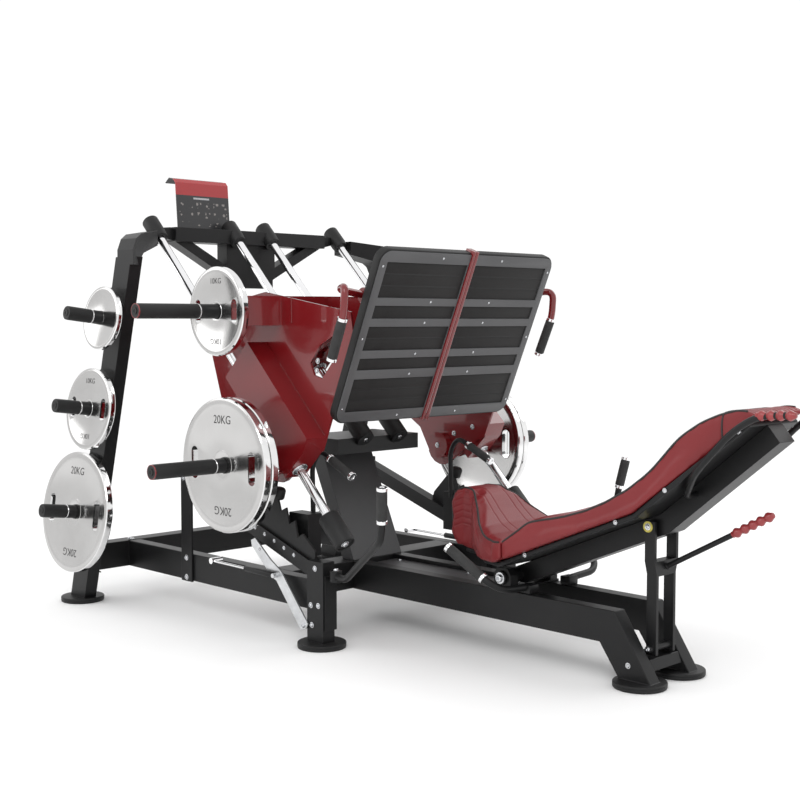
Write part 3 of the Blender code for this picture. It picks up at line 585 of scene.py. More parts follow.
# ---------------------------------------------------------------- rubber sleeves on the weight horns
# Each 50 mm horn has a long black rubber sleeve outside the plates, a bright ring, and a short collar inside.
# Carriages and uprights have the same pattern.
def horn(root, tip, name, body, ring_at=0.42):
    root, tip = Vector(root), Vector(tip)
    way = (tip - root).normalized()
    length = (tip - root).length
    mid = length * ring_at
    inner = turned([(0.0, 0.0240), (0.0, 0.0247), (mid - 0.0022, 0.0247), (mid - 0.0018, 0.0240)], 48, False)
    place(aimed(inner, root, way), name + "_collar", powder, body)
    band = turned([(mid - 0.0020, 0.0238), (mid - 0.0020, 0.0249), (mid - 0.0012, 0.0251),
                   (mid + 0.0012, 0.0251), (mid + 0.0020, 0.0249), (mid + 0.0020, 0.0238)], 48, False)
    place(aimed(band, root, way), name + "_ring", chrome, body)
    outer = turned([(mid + 0.0021, 0.0238), (mid + 0.0021, 0.0248), (length - 0.006, 0.0248),
                    (length - 0.002, 0.0238), (length + 0.0004, 0.0215), (length + 0.0006, 0.0125),
                    (length + 0.0002, 0.0115), (length - 0.0002, 0.0)], 48)
    return place(aimed(outer, root, way), name + "_sleeve", rubber, body)


for side, tag in SIDES:
    body = f"carriage_{tag}"
    horn(P(LOW_PEG[0], side * 0.592, LOW_PEG[1]), P(LOW_PEG[0], side * 0.931, LOW_PEG[1]), f"low_horn_{tag}",
         body, 0.29)
    horn(P(UP_PEG[0], side * 0.588, UP_PEG[1]), P(UP_PEG[0], side * 0.931, UP_PEG[1]), f"up_horn_{tag}",
         body, 0.30)
    stub = turned([(0.0, 0.0), (0.0, 0.0105), (0.0012, 0.0115), (0.0022, 0.0110), (0.0022, 0.0060),
                   (0.0008, 0.0055), (0.0008, 0.0)], 24)
    for k, (x, z) in enumerate((LOW_PEG, UP_PEG)):
        place(aimed(stub.copy(), P(x, side * 0.9314, z), (0, side, 0)), f"horn_plug_{k}_{tag}", rubber, body)
    for k, z in enumerate((0.36, 0.75, 1.081)):
        slope = Vector((0, side * 0.217, 0.028)).normalized()
        base = Vector(P(up_x(z), side * 0.64, z - 0.010))
        horn(base + slope * 0.053, base + slope * 0.2188, f"store_horn_{k}_{tag}", "frame", 0.42)
        flange = turned([(0.0, 0.0246), (0.0, 0.0405), (0.002, 0.0424), (0.012, 0.0424), (0.014, 0.0405),
                         (0.014, 0.0246)], 48, False)
        place(aimed(flange, base + slope * 0.0386, slope), f"store_flange_{k}_{tag}", powder, "frame")
        place(aimed(stub.copy(), base + slope * 0.2190, slope), f"store_plug_{k}_{tag}", rubber, "frame")

# ---------------------------------------------------------------- weight plates
# Turned steel plates, satin-faced with bright rolled rims, a shallow step near the edge, two hand slots, and
# the mass stamped in black top and bottom.
steel = Finish("satin_plate_steel", "plate_steel", Metallic=1.0)
lathe_x = steel.node("ShaderNodeAttribute", {"attribute_name": "turning"}, out=1)
radial = steel.node("ShaderNodeVectorMath", {"operation": "LENGTH"}, {0: lathe_x}, 1)
feed_marks = steel.node("ShaderNodeTexNoise", {"noise_dimensions": "1D"},
                        {"W": radial, "Scale": 900.0, "Detail": 2.0})
breath = steel.noise(5.0, 4.0)
steel.feed(Base_Color=steel.shades(breath * 0.7 + feed_marks * 0.3, (0.3, (0.46, 0.455, 0.45)),
                                   (0.7, (0.56, 0.555, 0.55))),
           Roughness=0.10 + feed_marks * 0.06 + breath * 0.06,
           Normal=steel.relief(feed_marks, 0.00008, 0.25))
rim_steel = Finish("bright_rim_steel", "plate_steel", Metallic=1.0)
shine = rim_steel.noise(20.0, 4.0)
rim_steel.feed(Base_Color=rim_steel.shades(shine, (0.3, (0.74, 0.74, 0.74)), (0.7, (0.84, 0.84, 0.84))),
               Roughness=0.05 + shine * 0.06)
ink = Finish("black_stamp_ink", "plate_steel")
wear = ink.noise(420.0, 3.0)
ink.feed(Base_Color=ink.shades(wear, (0.35, (0.02, 0.02, 0.02)), (0.75, (0.07, 0.07, 0.07))),
         Roughness=0.45 + wear * 0.2)


def slot_cutter(off, half_len, half_wid, deep):
    """A round-ended bar that opens one hand slot."""
    bm = bmesh.new()
    ring = []
    for way in (1, -1):
        for i in range(11):
            t = math.pi * i / 10 + (0 if way > 0 else math.pi)
            ring.append((off + half_wid * math.cos(t), way * (half_len - half_wid) + half_wid * math.sin(t)))
    low = [bm.verts.new((x, y, -deep)) for x, y in ring]
    high = [bm.verts.new((x, y, deep)) for x, y in ring]
    bm.faces.new(low[::-1])
    bm.faces.new(high)
    for i in range(len(ring)):
        j = (i + 1) % len(ring)
        bm.faces.new((low[i], low[j], high[j], high[i]))
    return tidy_mesh(bm, "slot")


def plate(name, node, body, centre, axis, radius, thick, slots, label):
    """One plate, its face towards axis; the label reads upright above the hole and turned round below it."""
    t = thick / 2
    step = radius * 0.86
    bore = 0.02535
    face = [(-t + 0.0006, bore), (-t + 0.0000, bore + 0.0012), (-t, radius * 0.22),
            (-t + 0.0008, radius * 0.225), (-t + 0.0008, step), (-t, step + 0.0015), (-t, radius - 0.0062)]
    mirror = [(-z, r) for z, r in face[::-1]]
    rim = [(-t + 0.0012, radius - 0.0030), (-t + 0.0050, radius - 0.0003), (0.0, radius),
           (t - 0.0050, radius - 0.0003), (t - 0.0012, radius - 0.0030)]
    body_mesh = turned(face + rim + mirror + face[:1], 96, False)
    ob = bpy.data.objects.new("blank", body_mesh)
    bpy.context.scene.collection.objects.link(ob)
    cutters = []
    if slots:
        for way in (1, -1):
            cutter = bpy.data.objects.new("slot", slot_cutter(way * slots[0], slots[1], slots[2], thick))
            bpy.context.scene.collection.objects.link(cutter)
            cutters.append(cutter)
            cut = ob.modifiers.new("slot", "BOOLEAN")
            cut.object = cutter
            cut.solver = "EXACT"
    mesh = baked(ob)
    for extra in cutters + [ob]:
        bpy.data.objects.remove(extra, do_unlink=True)
    mesh.materials.clear()
    mesh.materials.append(steel.mat)
    mesh.materials.append(rim_steel.mat)
    for polygon in mesh.polygons:
        c = polygon.center
        flat = abs(polygon.normal.z) > 0.8 and math.hypot(c.x, c.y) < radius - 0.004
        polygon.material_index = 0 if flat else 1
    turning = mesh.attributes.new("turning", "FLOAT_VECTOR", "POINT")
    for item, v in zip(turning.data, mesh.vertices):
        item.vector = (v.co.x, v.co.y, 0.0)
    # local x runs along the machine, local y up, local z out of the face
    z = Vector(axis).normalized()
    x = Vector((1, 0, 0)) if z.y < 0 else Vector((-1, 0, 0))
    y = z.cross(x)
    pose = Matrix((x, y, z)).transposed().to_4x4()
    pose.translation = Vector(centre)
    mesh.transform(pose)
    mesh.name = name
    mesh.shade_smooth()
    mesh.set_sharp_from_angle(angle=math.radians(30))
    solid = bpy.data.objects.new(name, mesh)
    bpy.context.scene.collection.objects.link(solid)
    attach(solid, body)
    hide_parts(node)
    if not label:
        return solid
    for k, (face_side, spin) in enumerate(((1, 0), (1, math.pi), (-1, 0), (-1, math.pi))):
        letters = bpy.data.curves.new("mass", "FONT")
        letters.body = label
        letters.size = radius * 0.175
        letters.align_x = "CENTER"
        letters.align_y = "CENTER"
        letters.extrude = 0.00012
        blank = bpy.data.objects.new("mass", letters)
        bpy.context.scene.collection.objects.link(blank)
        text = baked(blank)
        bpy.data.objects.remove(blank, do_unlink=True)
        lift = t - 0.00055
        text.transform(Matrix.Rotation(spin, 4, "Z") @ Matrix.Translation((0, radius * 0.67, 0)))
        flip = Matrix.Identity(4) if face_side > 0 else Matrix.Rotation(math.pi, 4, "Y")
        text.transform(pose @ flip @ Matrix.Translation((0, 0, lift)))
        place(text, f"{name}_mass_{k}", ink, body)
    return solid


SLOTS_20, SLOTS_10 = (0.155, 0.055, 0.018), (0.100, 0.040, 0.0145)
for side, tag in SIDES:
    out = (0, side, 0)
    plate(f"weight_low_inner_{tag}", f"plate_low_a_{tag}", f"plates_low_{tag}",
          P(LOW_PEG[0], side * 0.6075, LOW_PEG[1]), out, 0.225, 0.030, SLOTS_20, None)
    plate(f"weight_low_outer_{tag}", f"plate_low_b_{tag}", f"plates_low_{tag}",
          P(LOW_PEG[0], side * 0.6385, LOW_PEG[1]), out, 0.225, 0.030, SLOTS_20, "20KG")
    plate(f"weight_up_{tag}", f"plate_up_{tag}", f"plates_up_{tag}", P(UP_PEG[0], side * 0.6025, UP_PEG[1]),
          out, 0.150, 0.028, SLOTS_10, "10KG")
for kilos, z, radius, thick, slots in ((20, 0.36, 0.225, 0.030, SLOTS_20), (10, 0.75, 0.150, 0.026, SLOTS_10),
                                       (5, 1.081, 0.115, 0.022, None)):
    plate(f"stored_weight_{kilos}", f"store_{kilos}", f"store_body_{kilos}",
          P(up_x(z), -0.712, z - 0.010 + 0.072 * 0.129), (0, -0.217, 0.028), radius, thick, slots,
          f"{kilos}KG" if slots else None)

# ---------------------------------------------------------------- footplate halves
# Each carriage carries half of a wide footplate: a rubber-edged grey moulding with black rubber slats let into
# it, held by small bright screws, and a red folded strip down the middle joint.
tray = Finish("grey_moulding", "grey", Coat_Weight=0.05)
cloud = tray.noise(5.0, 4.0)
grit = tray.noise(1500.0, 2.0)
tray.feed(Base_Color=tray.shades(cloud, (0.3, (0.066, 0.067, 0.070)), (0.7, (0.086, 0.087, 0.090))),
          Roughness=0.46 + cloud * 0.10, Normal=tray.relief(grit, 0.00018, 0.5))
slat_rubber = Finish("ribbed_slat_rubber", "rubber", IOR=1.38)
dust = slat_rubber.noise(22.0, 5.0)
nap = slat_rubber.noise(1000.0, 2.0)
slat_rubber.feed(Base_Color=slat_rubber.shades(dust, (0.3, (0.009, 0.0085, 0.0085)),
                                               (0.72, (0.015, 0.0145, 0.0145))),
                 Roughness=0.56 + dust * 0.16, Normal=slat_rubber.relief(nap, 0.0003, 0.6))
FACE_ANGLE = math.radians(67.1)
along_s = Vector((math.cos(FACE_ANGLE), 0, math.sin(FACE_ANGLE)))
into = Vector((-math.sin(FACE_ANGLE), 0, math.cos(FACE_ANGLE)))
FACE = P(-0.128, 0, 0.9608)


def on_foot(s, y, back):
    return FACE + along_s * s + into * back + Vector((0, y, 0))


def rounded_plan(s0, s1, y0, y1, corner, n=10):
    """A rectangle in (s, y) with only the outer corners rounded."""
    pts = []
    corners = [(s0, y0), (s1, y0), (s1, y1), (s0, y1)]
    for i, (s, y) in enumerate(corners):
        outer = (abs(y) == max(abs(y0), abs(y1)))
        if not outer or corner == 0:
            pts.append((s, y))
            continue
        cs = s + (corner if s == s0 else -corner)
        cy = y - corner * math.copysign(1, y)
        seq = []
        for k in range(n + 1):
            t = k / n * math.pi / 2
            seq.append((cs + math.copysign(corner, s - cs) * math.cos(t),
                        cy + math.copysign(corner, y - cy) * math.sin(t)))
        prev = pts[-1] if pts else corners[i - 1]
        if (Vector(seq[0]) - Vector(prev)).length > (Vector(seq[-1]) - Vector(prev)).length:
            seq.reverse()
        pts += seq
    return pts


def foot_slab(outline, back0, back1):
    bm = bmesh.new()
    a = [bm.verts.new(on_foot(s, y, back0)) for s, y in outline]
    b = [bm.verts.new(on_foot(s, y, back1)) for s, y in outline]
    bm.faces.new(a)
    bm.faces.new(b)
    for i in range(len(outline)):
        j = (i + 1) % len(outline)
        bm.faces.new((a[i], a[j], b[j], b[i]))
    return tidy_mesh(bm, "slab")


GROUPS = ((3, 0.319, 0.198), (1, 0.171, 0.126), (2, 0.098, 0.014), (1, -0.014, -0.056), (3, -0.088, -0.207))
for side, tag in SIDES:
    body = f"carriage_{tag}"
    edge = foot_slab(rounded_plan(-0.249, 0.362, side * 0.0125, side * 0.425, 0.045), 0.0045, 0.0338)
    place(eased(edge, 0.004, 3), f"footplate_edge_{tag}", rubber, body, stands_for=(f"footplate_{tag}",))
    # the frame is a sheet with five windows; each slat stands a little below its face
    face_plan = rounded_plan(-0.243, 0.356, side * 0.0128, side * 0.419, 0.040)
    sheet = bpy.data.objects.new("blank", foot_slab(face_plan, 0.0003, 0.008))
    bpy.context.scene.collection.objects.link(sheet)
    cutters = []
    for count, top, bottom in GROUPS:
        plan = [(bottom, side * 0.018), (top, side * 0.018), (top, side * 0.389), (bottom, side * 0.389)]
        tool = bpy.data.objects.new("window", foot_slab(plan, -0.01, 0.02))
        bpy.context.scene.collection.objects.link(tool)
        cutters.append(tool)
        cut = sheet.modifiers.new("window", "BOOLEAN")
        cut.operation = "DIFFERENCE"
        cut.solver = "EXACT"
        cut.object = tool
    mesh = baked(sheet)
    for extra in cutters + [sheet]:
        bpy.data.objects.remove(extra, do_unlink=True)
    place(eased(mesh, 0.0012, 2), f"footplate_face_{tag}", tray, body)
    # slats: moulded bars with eased edges, an equal share of each window
    slats = []
    for count, top, bottom in GROUPS:
        pitch = (top - bottom) / count
        for k in range(count):
            s = top - (k + 0.5) * pitch
            slats.append((on_foot(s, side * 0.2035, 0.0065), (pitch - 0.0042, 0.3682, 0.006)))
    # a bar's x lies along the slope, its y across the machine and its z out of the face
    pads = bmesh.new()
    for spot, (wide, long, deep) in slats:
        cube = bmesh.ops.create_cube(pads, size=1.0)["verts"]
        frame_axes = Matrix((along_s, Vector((0, 1, 0)), -into)).transposed().to_4x4()
        frame_axes.translation = spot
        bmesh.ops.transform(pads, matrix=frame_axes @ Matrix.Diagonal((wide, long, deep, 1)), verts=cube)
    pad_mesh = tidy_mesh(pads, "slats", 0.0)
    place(eased(pad_mesh, 0.0013, 2), f"footplate_slats_{tag}", slat_rubber, body)
    # a real black rubber backing sheet behind the slats, in a darker rubber than the slats so that the gaps
    # between them read dark: painted shade in the gaps
    shade_bed = foot_slab([(-0.238, side * 0.016), (0.350, side * 0.016), (0.350, side * 0.40),
                     (-0.238, side * 0.40)], 0.0088, 0.0120)
    place(shade_bed, f"footplate_bed_{tag}", rubber, body)
    dots = [(on_foot(s, side * 0.1439, 0.0001), -into, 0.36)
            for s in (0.3391, 0.1859, 0.1119, 0.0, -0.0735, -0.2275)]
    dots += [(on_foot(s, side * 0.4046, 0.0001), -into, 0.36) for s in (0.3046, 0.0557, -0.193)]
    screws(dots, f"footplate_screws_{tag}", body)
    # the red middle strip, folded at its edge
    strip = foot_slab([(-0.2535, side * 0.0006), (0.3685, side * 0.0006), (0.3685, side * 0.0135),
                       (-0.2535, side * 0.0165)], -0.0046, 0.0338)
    place(eased(strip, 0.0012, 2), f"footplate_strip_{tag}", lacquer, body)
    groove = foot_slab([(-0.2500, side * 0.0070), (0.3640, side * 0.0062), (0.3640, side * 0.0072),
                        (-0.2500, side * 0.0084)], -0.0052, -0.0040)
    place(eased(groove, 0.0003, 1), f"footplate_strip_bead_{tag}", lacquer, body)

# ---------------------------------------------------------------- side handles and the common hand grip
# 25 mm bent steel tube, sprayed with the carriage, ending in a black foam-rubber grip held between two bright
# aluminium rings. The same grip is used on the seat, safety and release handles.
foam = Finish("grip_foam_rubber", "rubber", IOR=1.45)
soil = foam.noise(40.0, 4.0)
cells = foam.node("ShaderNodeTexVoronoi", {"feature": "F1"}, {"Vector": foam.spot, "Scale": 900.0})
foam.feed(Base_Color=foam.shades(soil, (0.3, (0.016, 0.016, 0.016)), (0.7, (0.028, 0.028, 0.028))),
          Roughness=0.58 + soil * 0.14, Normal=foam.relief(cells, 0.0004, 0.7))


def bent_tube(points, radius, bend=0.03, steps=10, res=7):
    """A tube along points with each corner bent over a distance."""
    pts = [Vector(p) for p in points]
    route = [pts[0]]
    for p, q, s in zip(pts, pts[1:], pts[2:]):
        d = min(bend, (q - p).length * 0.48, (s - q).length * 0.48)
        a, b = q + (p - q).normalized() * d, q + (s - q).normalized() * d
        for i in range(steps + 1):
            t = i / steps
            route.append((1 - t) ** 2 * a + 2 * t * (1 - t) * q + t * t * b)
    route.append(pts[-1])
    curve = bpy.data.curves.new("route", "CURVE")
    curve.dimensions = "3D"
    curve.bevel_depth = radius
    curve.bevel_resolution = res
    curve.use_fill_caps = True
    line = curve.splines.new("POLY")
    line.points.add(len(route) - 1)
    for p, q in zip(line.points, route):
        p.co = (*q, 1)
    ob = bpy.data.objects.new("route", curve)
    bpy.context.scene.collection.objects.link(ob)
    mesh = baked(ob)
    bpy.data.objects.remove(ob, do_unlink=True)
    bm = bmesh.new()
    bm.from_mesh(mesh)
    return tidy_mesh(bm, "tube")


def hand_grip(a, b, name, body, radius=0.0166, band=0.011):
    """A foam sleeve from a to b between two bright rings; b is the free end."""
    a, b = Vector(a), Vector(b)
    way = (b - a).normalized()
    length = (b - a).length
    r = radius
    sleeve = [(band, 0.0112), (band, r - 0.0016), (band + 0.002, r - 0.0004)]
    sleeve += [(band + 0.002 + (length - 2 * band - 0.004) * k / 6, r - 0.0002) for k in range(1, 6)]
    sleeve += [(length - band - 0.002, r - 0.0004), (length - band, r - 0.0016), (length - band, 0.0112)]
    place(aimed(turned(sleeve, 40, False), a, way), name + "_foam", foam, body)
    for tag, z0, shut in (("root", 0.0, False), ("end", length - band, True)):
        ring = [(z0 + 0.0, 0.0105), (z0, r - 0.0010), (z0 + 0.0010, r + 0.0002),
                (z0 + band - 0.0012, r + 0.0002), (z0 + band, r - 0.0010)]
        if shut:
            ring += [(z0 + band + 0.0004, 0.0075), (z0 + band - 0.0016, 0.0065), (z0 + band - 0.0016, 0.0)]
        else:
            ring += [(z0 + band, 0.0105)]
        mesh = turned(ring, 40, False)
        place(aimed(mesh, a, way), f"{name}_{tag}_ring", chrome, body)


root = on_foot(0.18, 0.0, 0.06)
for side, tag in SIDES:
    body = f"carriage_{tag}"
    hx, hz = root.x - DATUM, root.z
    tube = bent_tube([P(hx - 0.03, side * 0.36, hz + 0.004), P(hx - 0.03, side * 0.470, hz + 0.02),
                      P(-0.068, side * 0.512, 1.180), P(-0.076, side * 0.5135, 1.084),
                      P(-0.130, side * 0.5108, 0.958)], 0.0125, 0.035)
    place(tube, f"side_handle_tube_{tag}", lacquer, body, stands_for=(f"side_handle_{tag}",))
    lug = turned([(0.0, 0.0), (0.0, 0.024), (0.002, 0.026), (0.012, 0.026), (0.014, 0.024), (0.014, 0.0)],
                 40)
    place(aimed(lug, P(hx - 0.03, side * 0.355, hz + 0.003), (0, side, 0)), f"side_handle_lug_{tag}",
          lacquer, body)
    bar = eased(foot_slab([(0.135, side * 0.27), (0.225, side * 0.27), (0.225, side * 0.356),
                           (0.135, side * 0.356)], 0.0345, 0.072), 0.003)
    place(bar, f"side_handle_block_{tag}", lacquer, body)
    hand_grip(P(-0.078, side * 0.5134, 1.080), P(-0.136, side * 0.5106, 0.944), f"side_grip_{tag}", body)

# ---------------------------------------------------------------- seat bracket, beam and board
# The seat swings on a cross tube between two welded ears. A bent 60 mm beam carries a plywood board in black
# covering cloth that the two cushions are screwed to from below.
for node, body, edge in (("seat_bracket", "frame", 0.0018), ("seat_beam", "seat", 0.003),
                         ("seat_board", "seat", 0.004)):
    dressed(node, powder, body, edge)
pivot_ends = []
board_screws = []
for side in (-1, 1):
    pivot_ends.append((P(0.240, side * 0.1282, 0.252), (0, side, 0), 1.65))
    for x, y, z in ((0.39, 0.1862, 0.3525), (0.72, 0.1735, 0.4890), (0.88, 0.1625, 0.5960),
                    (1.098, 0.1385, 0.7730)):
        board_screws.append((P(x, side * y, z), (0, side, 0), 0.62))
screws(pivot_ends + board_screws, "seat_screws", "seat")
for side, tag in SIDES:
    bead_line([P(0.206, side * 0.1182, 0.2216), P(0.274, side * 0.1182, 0.2216)], 0.0024, f"ear_weld_{tag}",
              powder, "frame")

# ---------------------------------------------------------------- cushions
# Firm foam cut to a saddle and a long curved back, covered in red vinyl with a fine leather print. Black
# welting is sewn along the top edges; the head end is a pleated roll.
vinyl = Finish("red_vinyl", "vinyl", Coat_Weight=0.12, Coat_Roughness=0.22, IOR=1.40)
tone = vinyl.noise(3.5, 4.0)
leather = vinyl.node("ShaderNodeTexVoronoi", {"feature": "DISTANCE_TO_EDGE"},
                     {"Vector": vinyl.spot, "Scale": 620.0})
pores = vinyl.noise(1300.0, 2.0)
vinyl.feed(Base_Color=vinyl.shades(tone, (0.25, (0.165, 0.011, 0.014)), (0.75, (0.210, 0.017, 0.020))),
           Roughness=0.36 + tone * 0.10 + pores * 0.05,
           Normal=vinyl.relief(leather * 1.6 + pores * 0.3, 0.00035, 0.45))
welt_cloth = Finish("black_welt", "vinyl", IOR=1.45)
weave = welt_cloth.noise(500.0, 3.0)
welt_cloth.feed(Base_Color=welt_cloth.shades(weave, (0.3, (0.014, 0.014, 0.014)),
                                             (0.75, (0.036, 0.035, 0.035))), Roughness=0.50 + weave * 0.2,
                Normal=welt_cloth.relief(weave, 0.0004, 0.5))


def follow(pts, x):
    """The height of a polyline at x."""
    for (x0, z0), (x1, z1) in zip(pts, pts[1:]):
        if x0 <= x <= x1:
            return z0 + (z1 - z0) * (x - x0) / max(1e-9, x1 - x0)
    return pts[0][1] if x < pts[0][0] else pts[-1][1]


def stuffed(node, name, voxel, cap, under):
    """The foam blank, skinned at voxel size and swollen by air pressure, held where under(point) is true."""
    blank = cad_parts[node].data.copy()
    ob = bpy.data.objects.new(name, blank)
    bpy.context.scene.collection.objects.link(ob)
    weld = ob.modifiers.new("weld", "WELD")
    weld.merge_threshold = 0.00005
    skin = ob.modifiers.new("skin", "REMESH")
    skin.mode = "VOXEL"
    skin.voxel_size = voxel
    ease = ob.modifiers.new("ease", "SMOOTH")
    ease.factor = 0.5
    ease.iterations = 7
    mesh = baked(ob)
    ob.modifiers.clear()
    ob.data = mesh
    start = [v.co.copy() for v in mesh.vertices]
    pin = ob.vertex_groups.new(name="held")
    pin.add([i for i, p in enumerate(start) if under(p)], 1.0, "REPLACE")
    cloth = ob.modifiers.new("cloth", "CLOTH")
    cloth.settings.quality = 5
    cloth.settings.use_pressure = True
    cloth.settings.uniform_pressure_force = 4.0
    cloth.settings.effector_weights.gravity = 0.0
    cloth.settings.vertex_group_mass = "held"
    cloth.settings.tension_stiffness = 20
    cloth.settings.compression_stiffness = 20
    cloth.settings.bending_stiffness = 2
    cloth.collision_settings.use_self_collision = False
    timeline = bpy.context.scene
    timeline.frame_start, timeline.frame_end = 1, 20
    for n in range(1, 21):
        timeline.frame_set(n)
    swollen = bpy.data.meshes.new_from_object(ob.evaluated_get(bpy.context.evaluated_depsgraph_get()))
    for v, p in zip(swollen.vertices, start):
        move = v.co - p
        if move.length > cap:
            v.co = p + move.normalized() * cap
    ob.modifiers.clear()
    ob.data = swollen
    timeline.frame_set(1)
    finer = ob.modifiers.new("finer", "SUBSURF")
    finer.levels = finer.render_levels = 1
    done = baked(ob)
    bpy.data.objects.remove(ob, do_unlink=True)
    return done


def welted(line, tree, name, radius=0.0032):
    """Welting sewn along a line, laid on the nearest cover."""
    spots = []
    for p in line:
        found, normal, _, _ = tree.find_nearest(Vector(p))
        spots.append(found + normal * 0.0006 if found else Vector(p))
    for _ in range(3):
        eased_spots = [(a + b * 2 + c) / 4 for a, b, c in zip(spots, spots[1:], spots[2:])]
        spots = [spots[0]] + eased_spots + [spots[-1]]
    place(bent_tube(spots, radius, 0.002, 2, 4), name, welt_cloth, "seat")
    return spots


SEAT_TOP = [(-0.045, 0.470), (-0.025, 0.508), (0.02, 0.525), (0.07, 0.524), (0.115, 0.494), (0.155, 0.45),
            (0.195, 0.413), (0.24, 0.392), (0.29, 0.386), (0.3148, 0.388)]
SEAT_HALF = [(-0.06, 0.052), (0.03, 0.064), (0.08, 0.080), (0.13, 0.125), (0.17, 0.165), (0.22, 0.198),
             (0.28, 0.215), (0.34, 0.218)]
BACK_TOP = [(0.3158, 0.388), (0.37, 0.425), (0.42, 0.462), (0.47, 0.476), (0.551, 0.495), (0.63, 0.522),
            (0.698, 0.555), (0.768, 0.597), (0.812, 0.632), (0.852, 0.673), (0.885, 0.715), (0.917, 0.750),
            (0.981, 0.795), (1.027, 0.817), (1.089, 0.833), (1.135, 0.828)]
BACK_HALF = [(0.30, 0.217), (0.42, 0.215), (0.60, 0.205), (0.80, 0.185), (0.92, 0.155), (1.02, 0.135),
             (1.16, 0.128)]
BACK_UNDER = [(0.30, 0.3245), (0.775, 0.5207), (1.117, 0.8007), (1.2, 0.868)]


def seat_held(p):
    return p.z < 0.3245 or p.x - DATUM > 0.3085


def back_held(p):
    x = p.x - DATUM
    return p.z - follow(BACK_UNDER, x) < 0.012 or x < 0.3225


seat_mesh = stuffed("seat_cushion", "seat_pad", 0.0058, 0.007, seat_held)
# pleats run along the saddle's flanks under the welting, and two seams run back from the saddle's nose
for v, outward in zip(seat_mesh.vertices, [v.normal.copy() for v in seat_mesh.vertices]):
    x, y, z = v.co.x - DATUM, v.co.y, v.co.z
    drop = follow(SEAT_TOP, x) - z
    flank = min(1.0, max(0.0, (abs(y) - follow(SEAT_HALF, x) + 0.014) / 0.006))
    if x < 0.20 and flank > 0 and 0.008 < drop < 0.13:
        v.co -= outward * 0.0022 * flank * max(0.0, math.cos(drop * math.tau / 0.021)) ** 6
    for line in (0.030, 0.055):
        if drop < 0.02 and x > 0.0:
            gap = abs(abs(y) - line * (1 + x * 2.2))
            v.co -= outward * 0.0018 * math.exp(-(gap / 0.0022) ** 2)
seat_pad = place(seat_mesh, "seat_pad", vinyl, "seat", 180, ("seat_cushion",))
back_mesh = stuffed("back_cushion", "back_pad", 0.0068, 0.007, back_held)
for v, outward in zip(back_mesh.vertices, [v.normal.copy() for v in back_mesh.vertices]):
    x, y, z = v.co.x - DATUM, v.co.y, v.co.z
    if x > 1.040 and z - follow(BACK_UNDER, x) > 0.004:
        fade = min(1.0, (x - 1.040) / 0.012)
        v.co -= outward * 0.0036 * fade * (1 - abs(math.sin(math.pi * y / 0.0195))) ** 1.5
    v.co -= outward * 0.0022 * math.exp(-((x - 1.042) / 0.003) ** 2)
back_pad = place(back_mesh, "back_pad", vinyl, "seat", 180, ("back_cushion",))


def cover_tree(mesh):
    bm = bmesh.new()
    bm.from_mesh(mesh)
    tree = BVHTree.FromBMesh(bm)
    bm.free()
    return tree


seat_cover, back_cover = cover_tree(seat_mesh), cover_tree(back_mesh)
for side, tag in SIDES:
    line = [P(-0.047, side * 0.054, 0.40), P(-0.047, side * 0.054, 0.44)]
    line += [P(x, side * (follow(SEAT_HALF, x) - 0.002), follow(SEAT_TOP, x) + 0.001)
             for x in [-0.045 + 0.36 * k / 60 for k in range(61)]]
    welted([p for p in line if p.x - DATUM < 0.3135], seat_cover, f"seat_welt_{tag}")
    line = [P(x, side * (follow(BACK_HALF, x) - 0.002), follow(BACK_TOP, x) + 0.001)
            for x in [0.318 + 0.80 * k / 90 for k in range(91)]]
    welted(line, back_cover, f"back_welt_{tag}")
roll_line = [P(1.043, y, 0.83) for y in [-0.131 + 0.262 * k / 30 for k in range(31)]]
welted(roll_line, back_cover, "roll_welt", 0.0026)
down_line = [P(1.043, -0.134, 0.82 - 0.0075 * k) for k in range(10)]
welted(down_line, back_cover, "roll_welt_l", 0.0026)
welted([Vector((p.x, -p.y, p.z)) for p in down_line], back_cover, "roll_welt_r", 0.0026)

# ---------------------------------------------------------------- head handles with beaded vinyl grips
# Looped 19 mm rods welded to the beam, ending beside the head roll in dipped red grips with finger beads.
beads_finish = Finish("dipped_red_vinyl", "vinyl", Coat_Weight=0.3, Coat_Roughness=0.2)
tint = beads_finish.noise(60.0, 3.0)
beads_finish.feed(Base_Color=beads_finish.shades(tint, (0.3, (0.230, 0.018, 0.020)),
                                                 (0.7, (0.300, 0.030, 0.032))), Roughness=0.34 + tint * 0.12,
                  Normal=beads_finish.relief(tint, 0.0003, 0.4))


def bead_grip(a, b, count, name, body, radius=0.0142):
    a, b = Vector(a), Vector(b)
    length = (b - a).length
    profile = [(0.0, 0.0), (0.0, radius * 0.66)]
    for k in range(count * 8 + 1):
        t = k / (count * 8)
        profile.append((0.001 + t * (length - 0.004),
                        radius * (0.80 + 0.20 * math.sin(t * count * math.tau - math.pi / 2))))
    profile += [(length - 0.001, radius * 0.52), (length, radius * 0.25), (length, 0.0)]
    place(aimed(turned(profile, 32), a, b - a), name, beads_finish, body)


for side, tag in SIDES:
    rod = bent_tube([P(0.90, side * 0.0405, 0.575), P(0.90, side * 0.085, 0.575),
                     P(0.985, side * 0.175, 0.655), P(1.10, side * 0.178, 0.775),
                     P(1.175, side * 0.175, 0.822), P(1.262, side * 0.1726, 0.8268)], 0.0095, 0.045)
    place(rod, f"head_rod_{tag}", powder, "seat", stands_for=(f"head_handle_{tag}",))
    bead_grip(P(1.172, side * 0.1751, 0.8220), P(1.2855, side * 0.172, 0.828), 4, f"head_grip_{tag}", "seat")

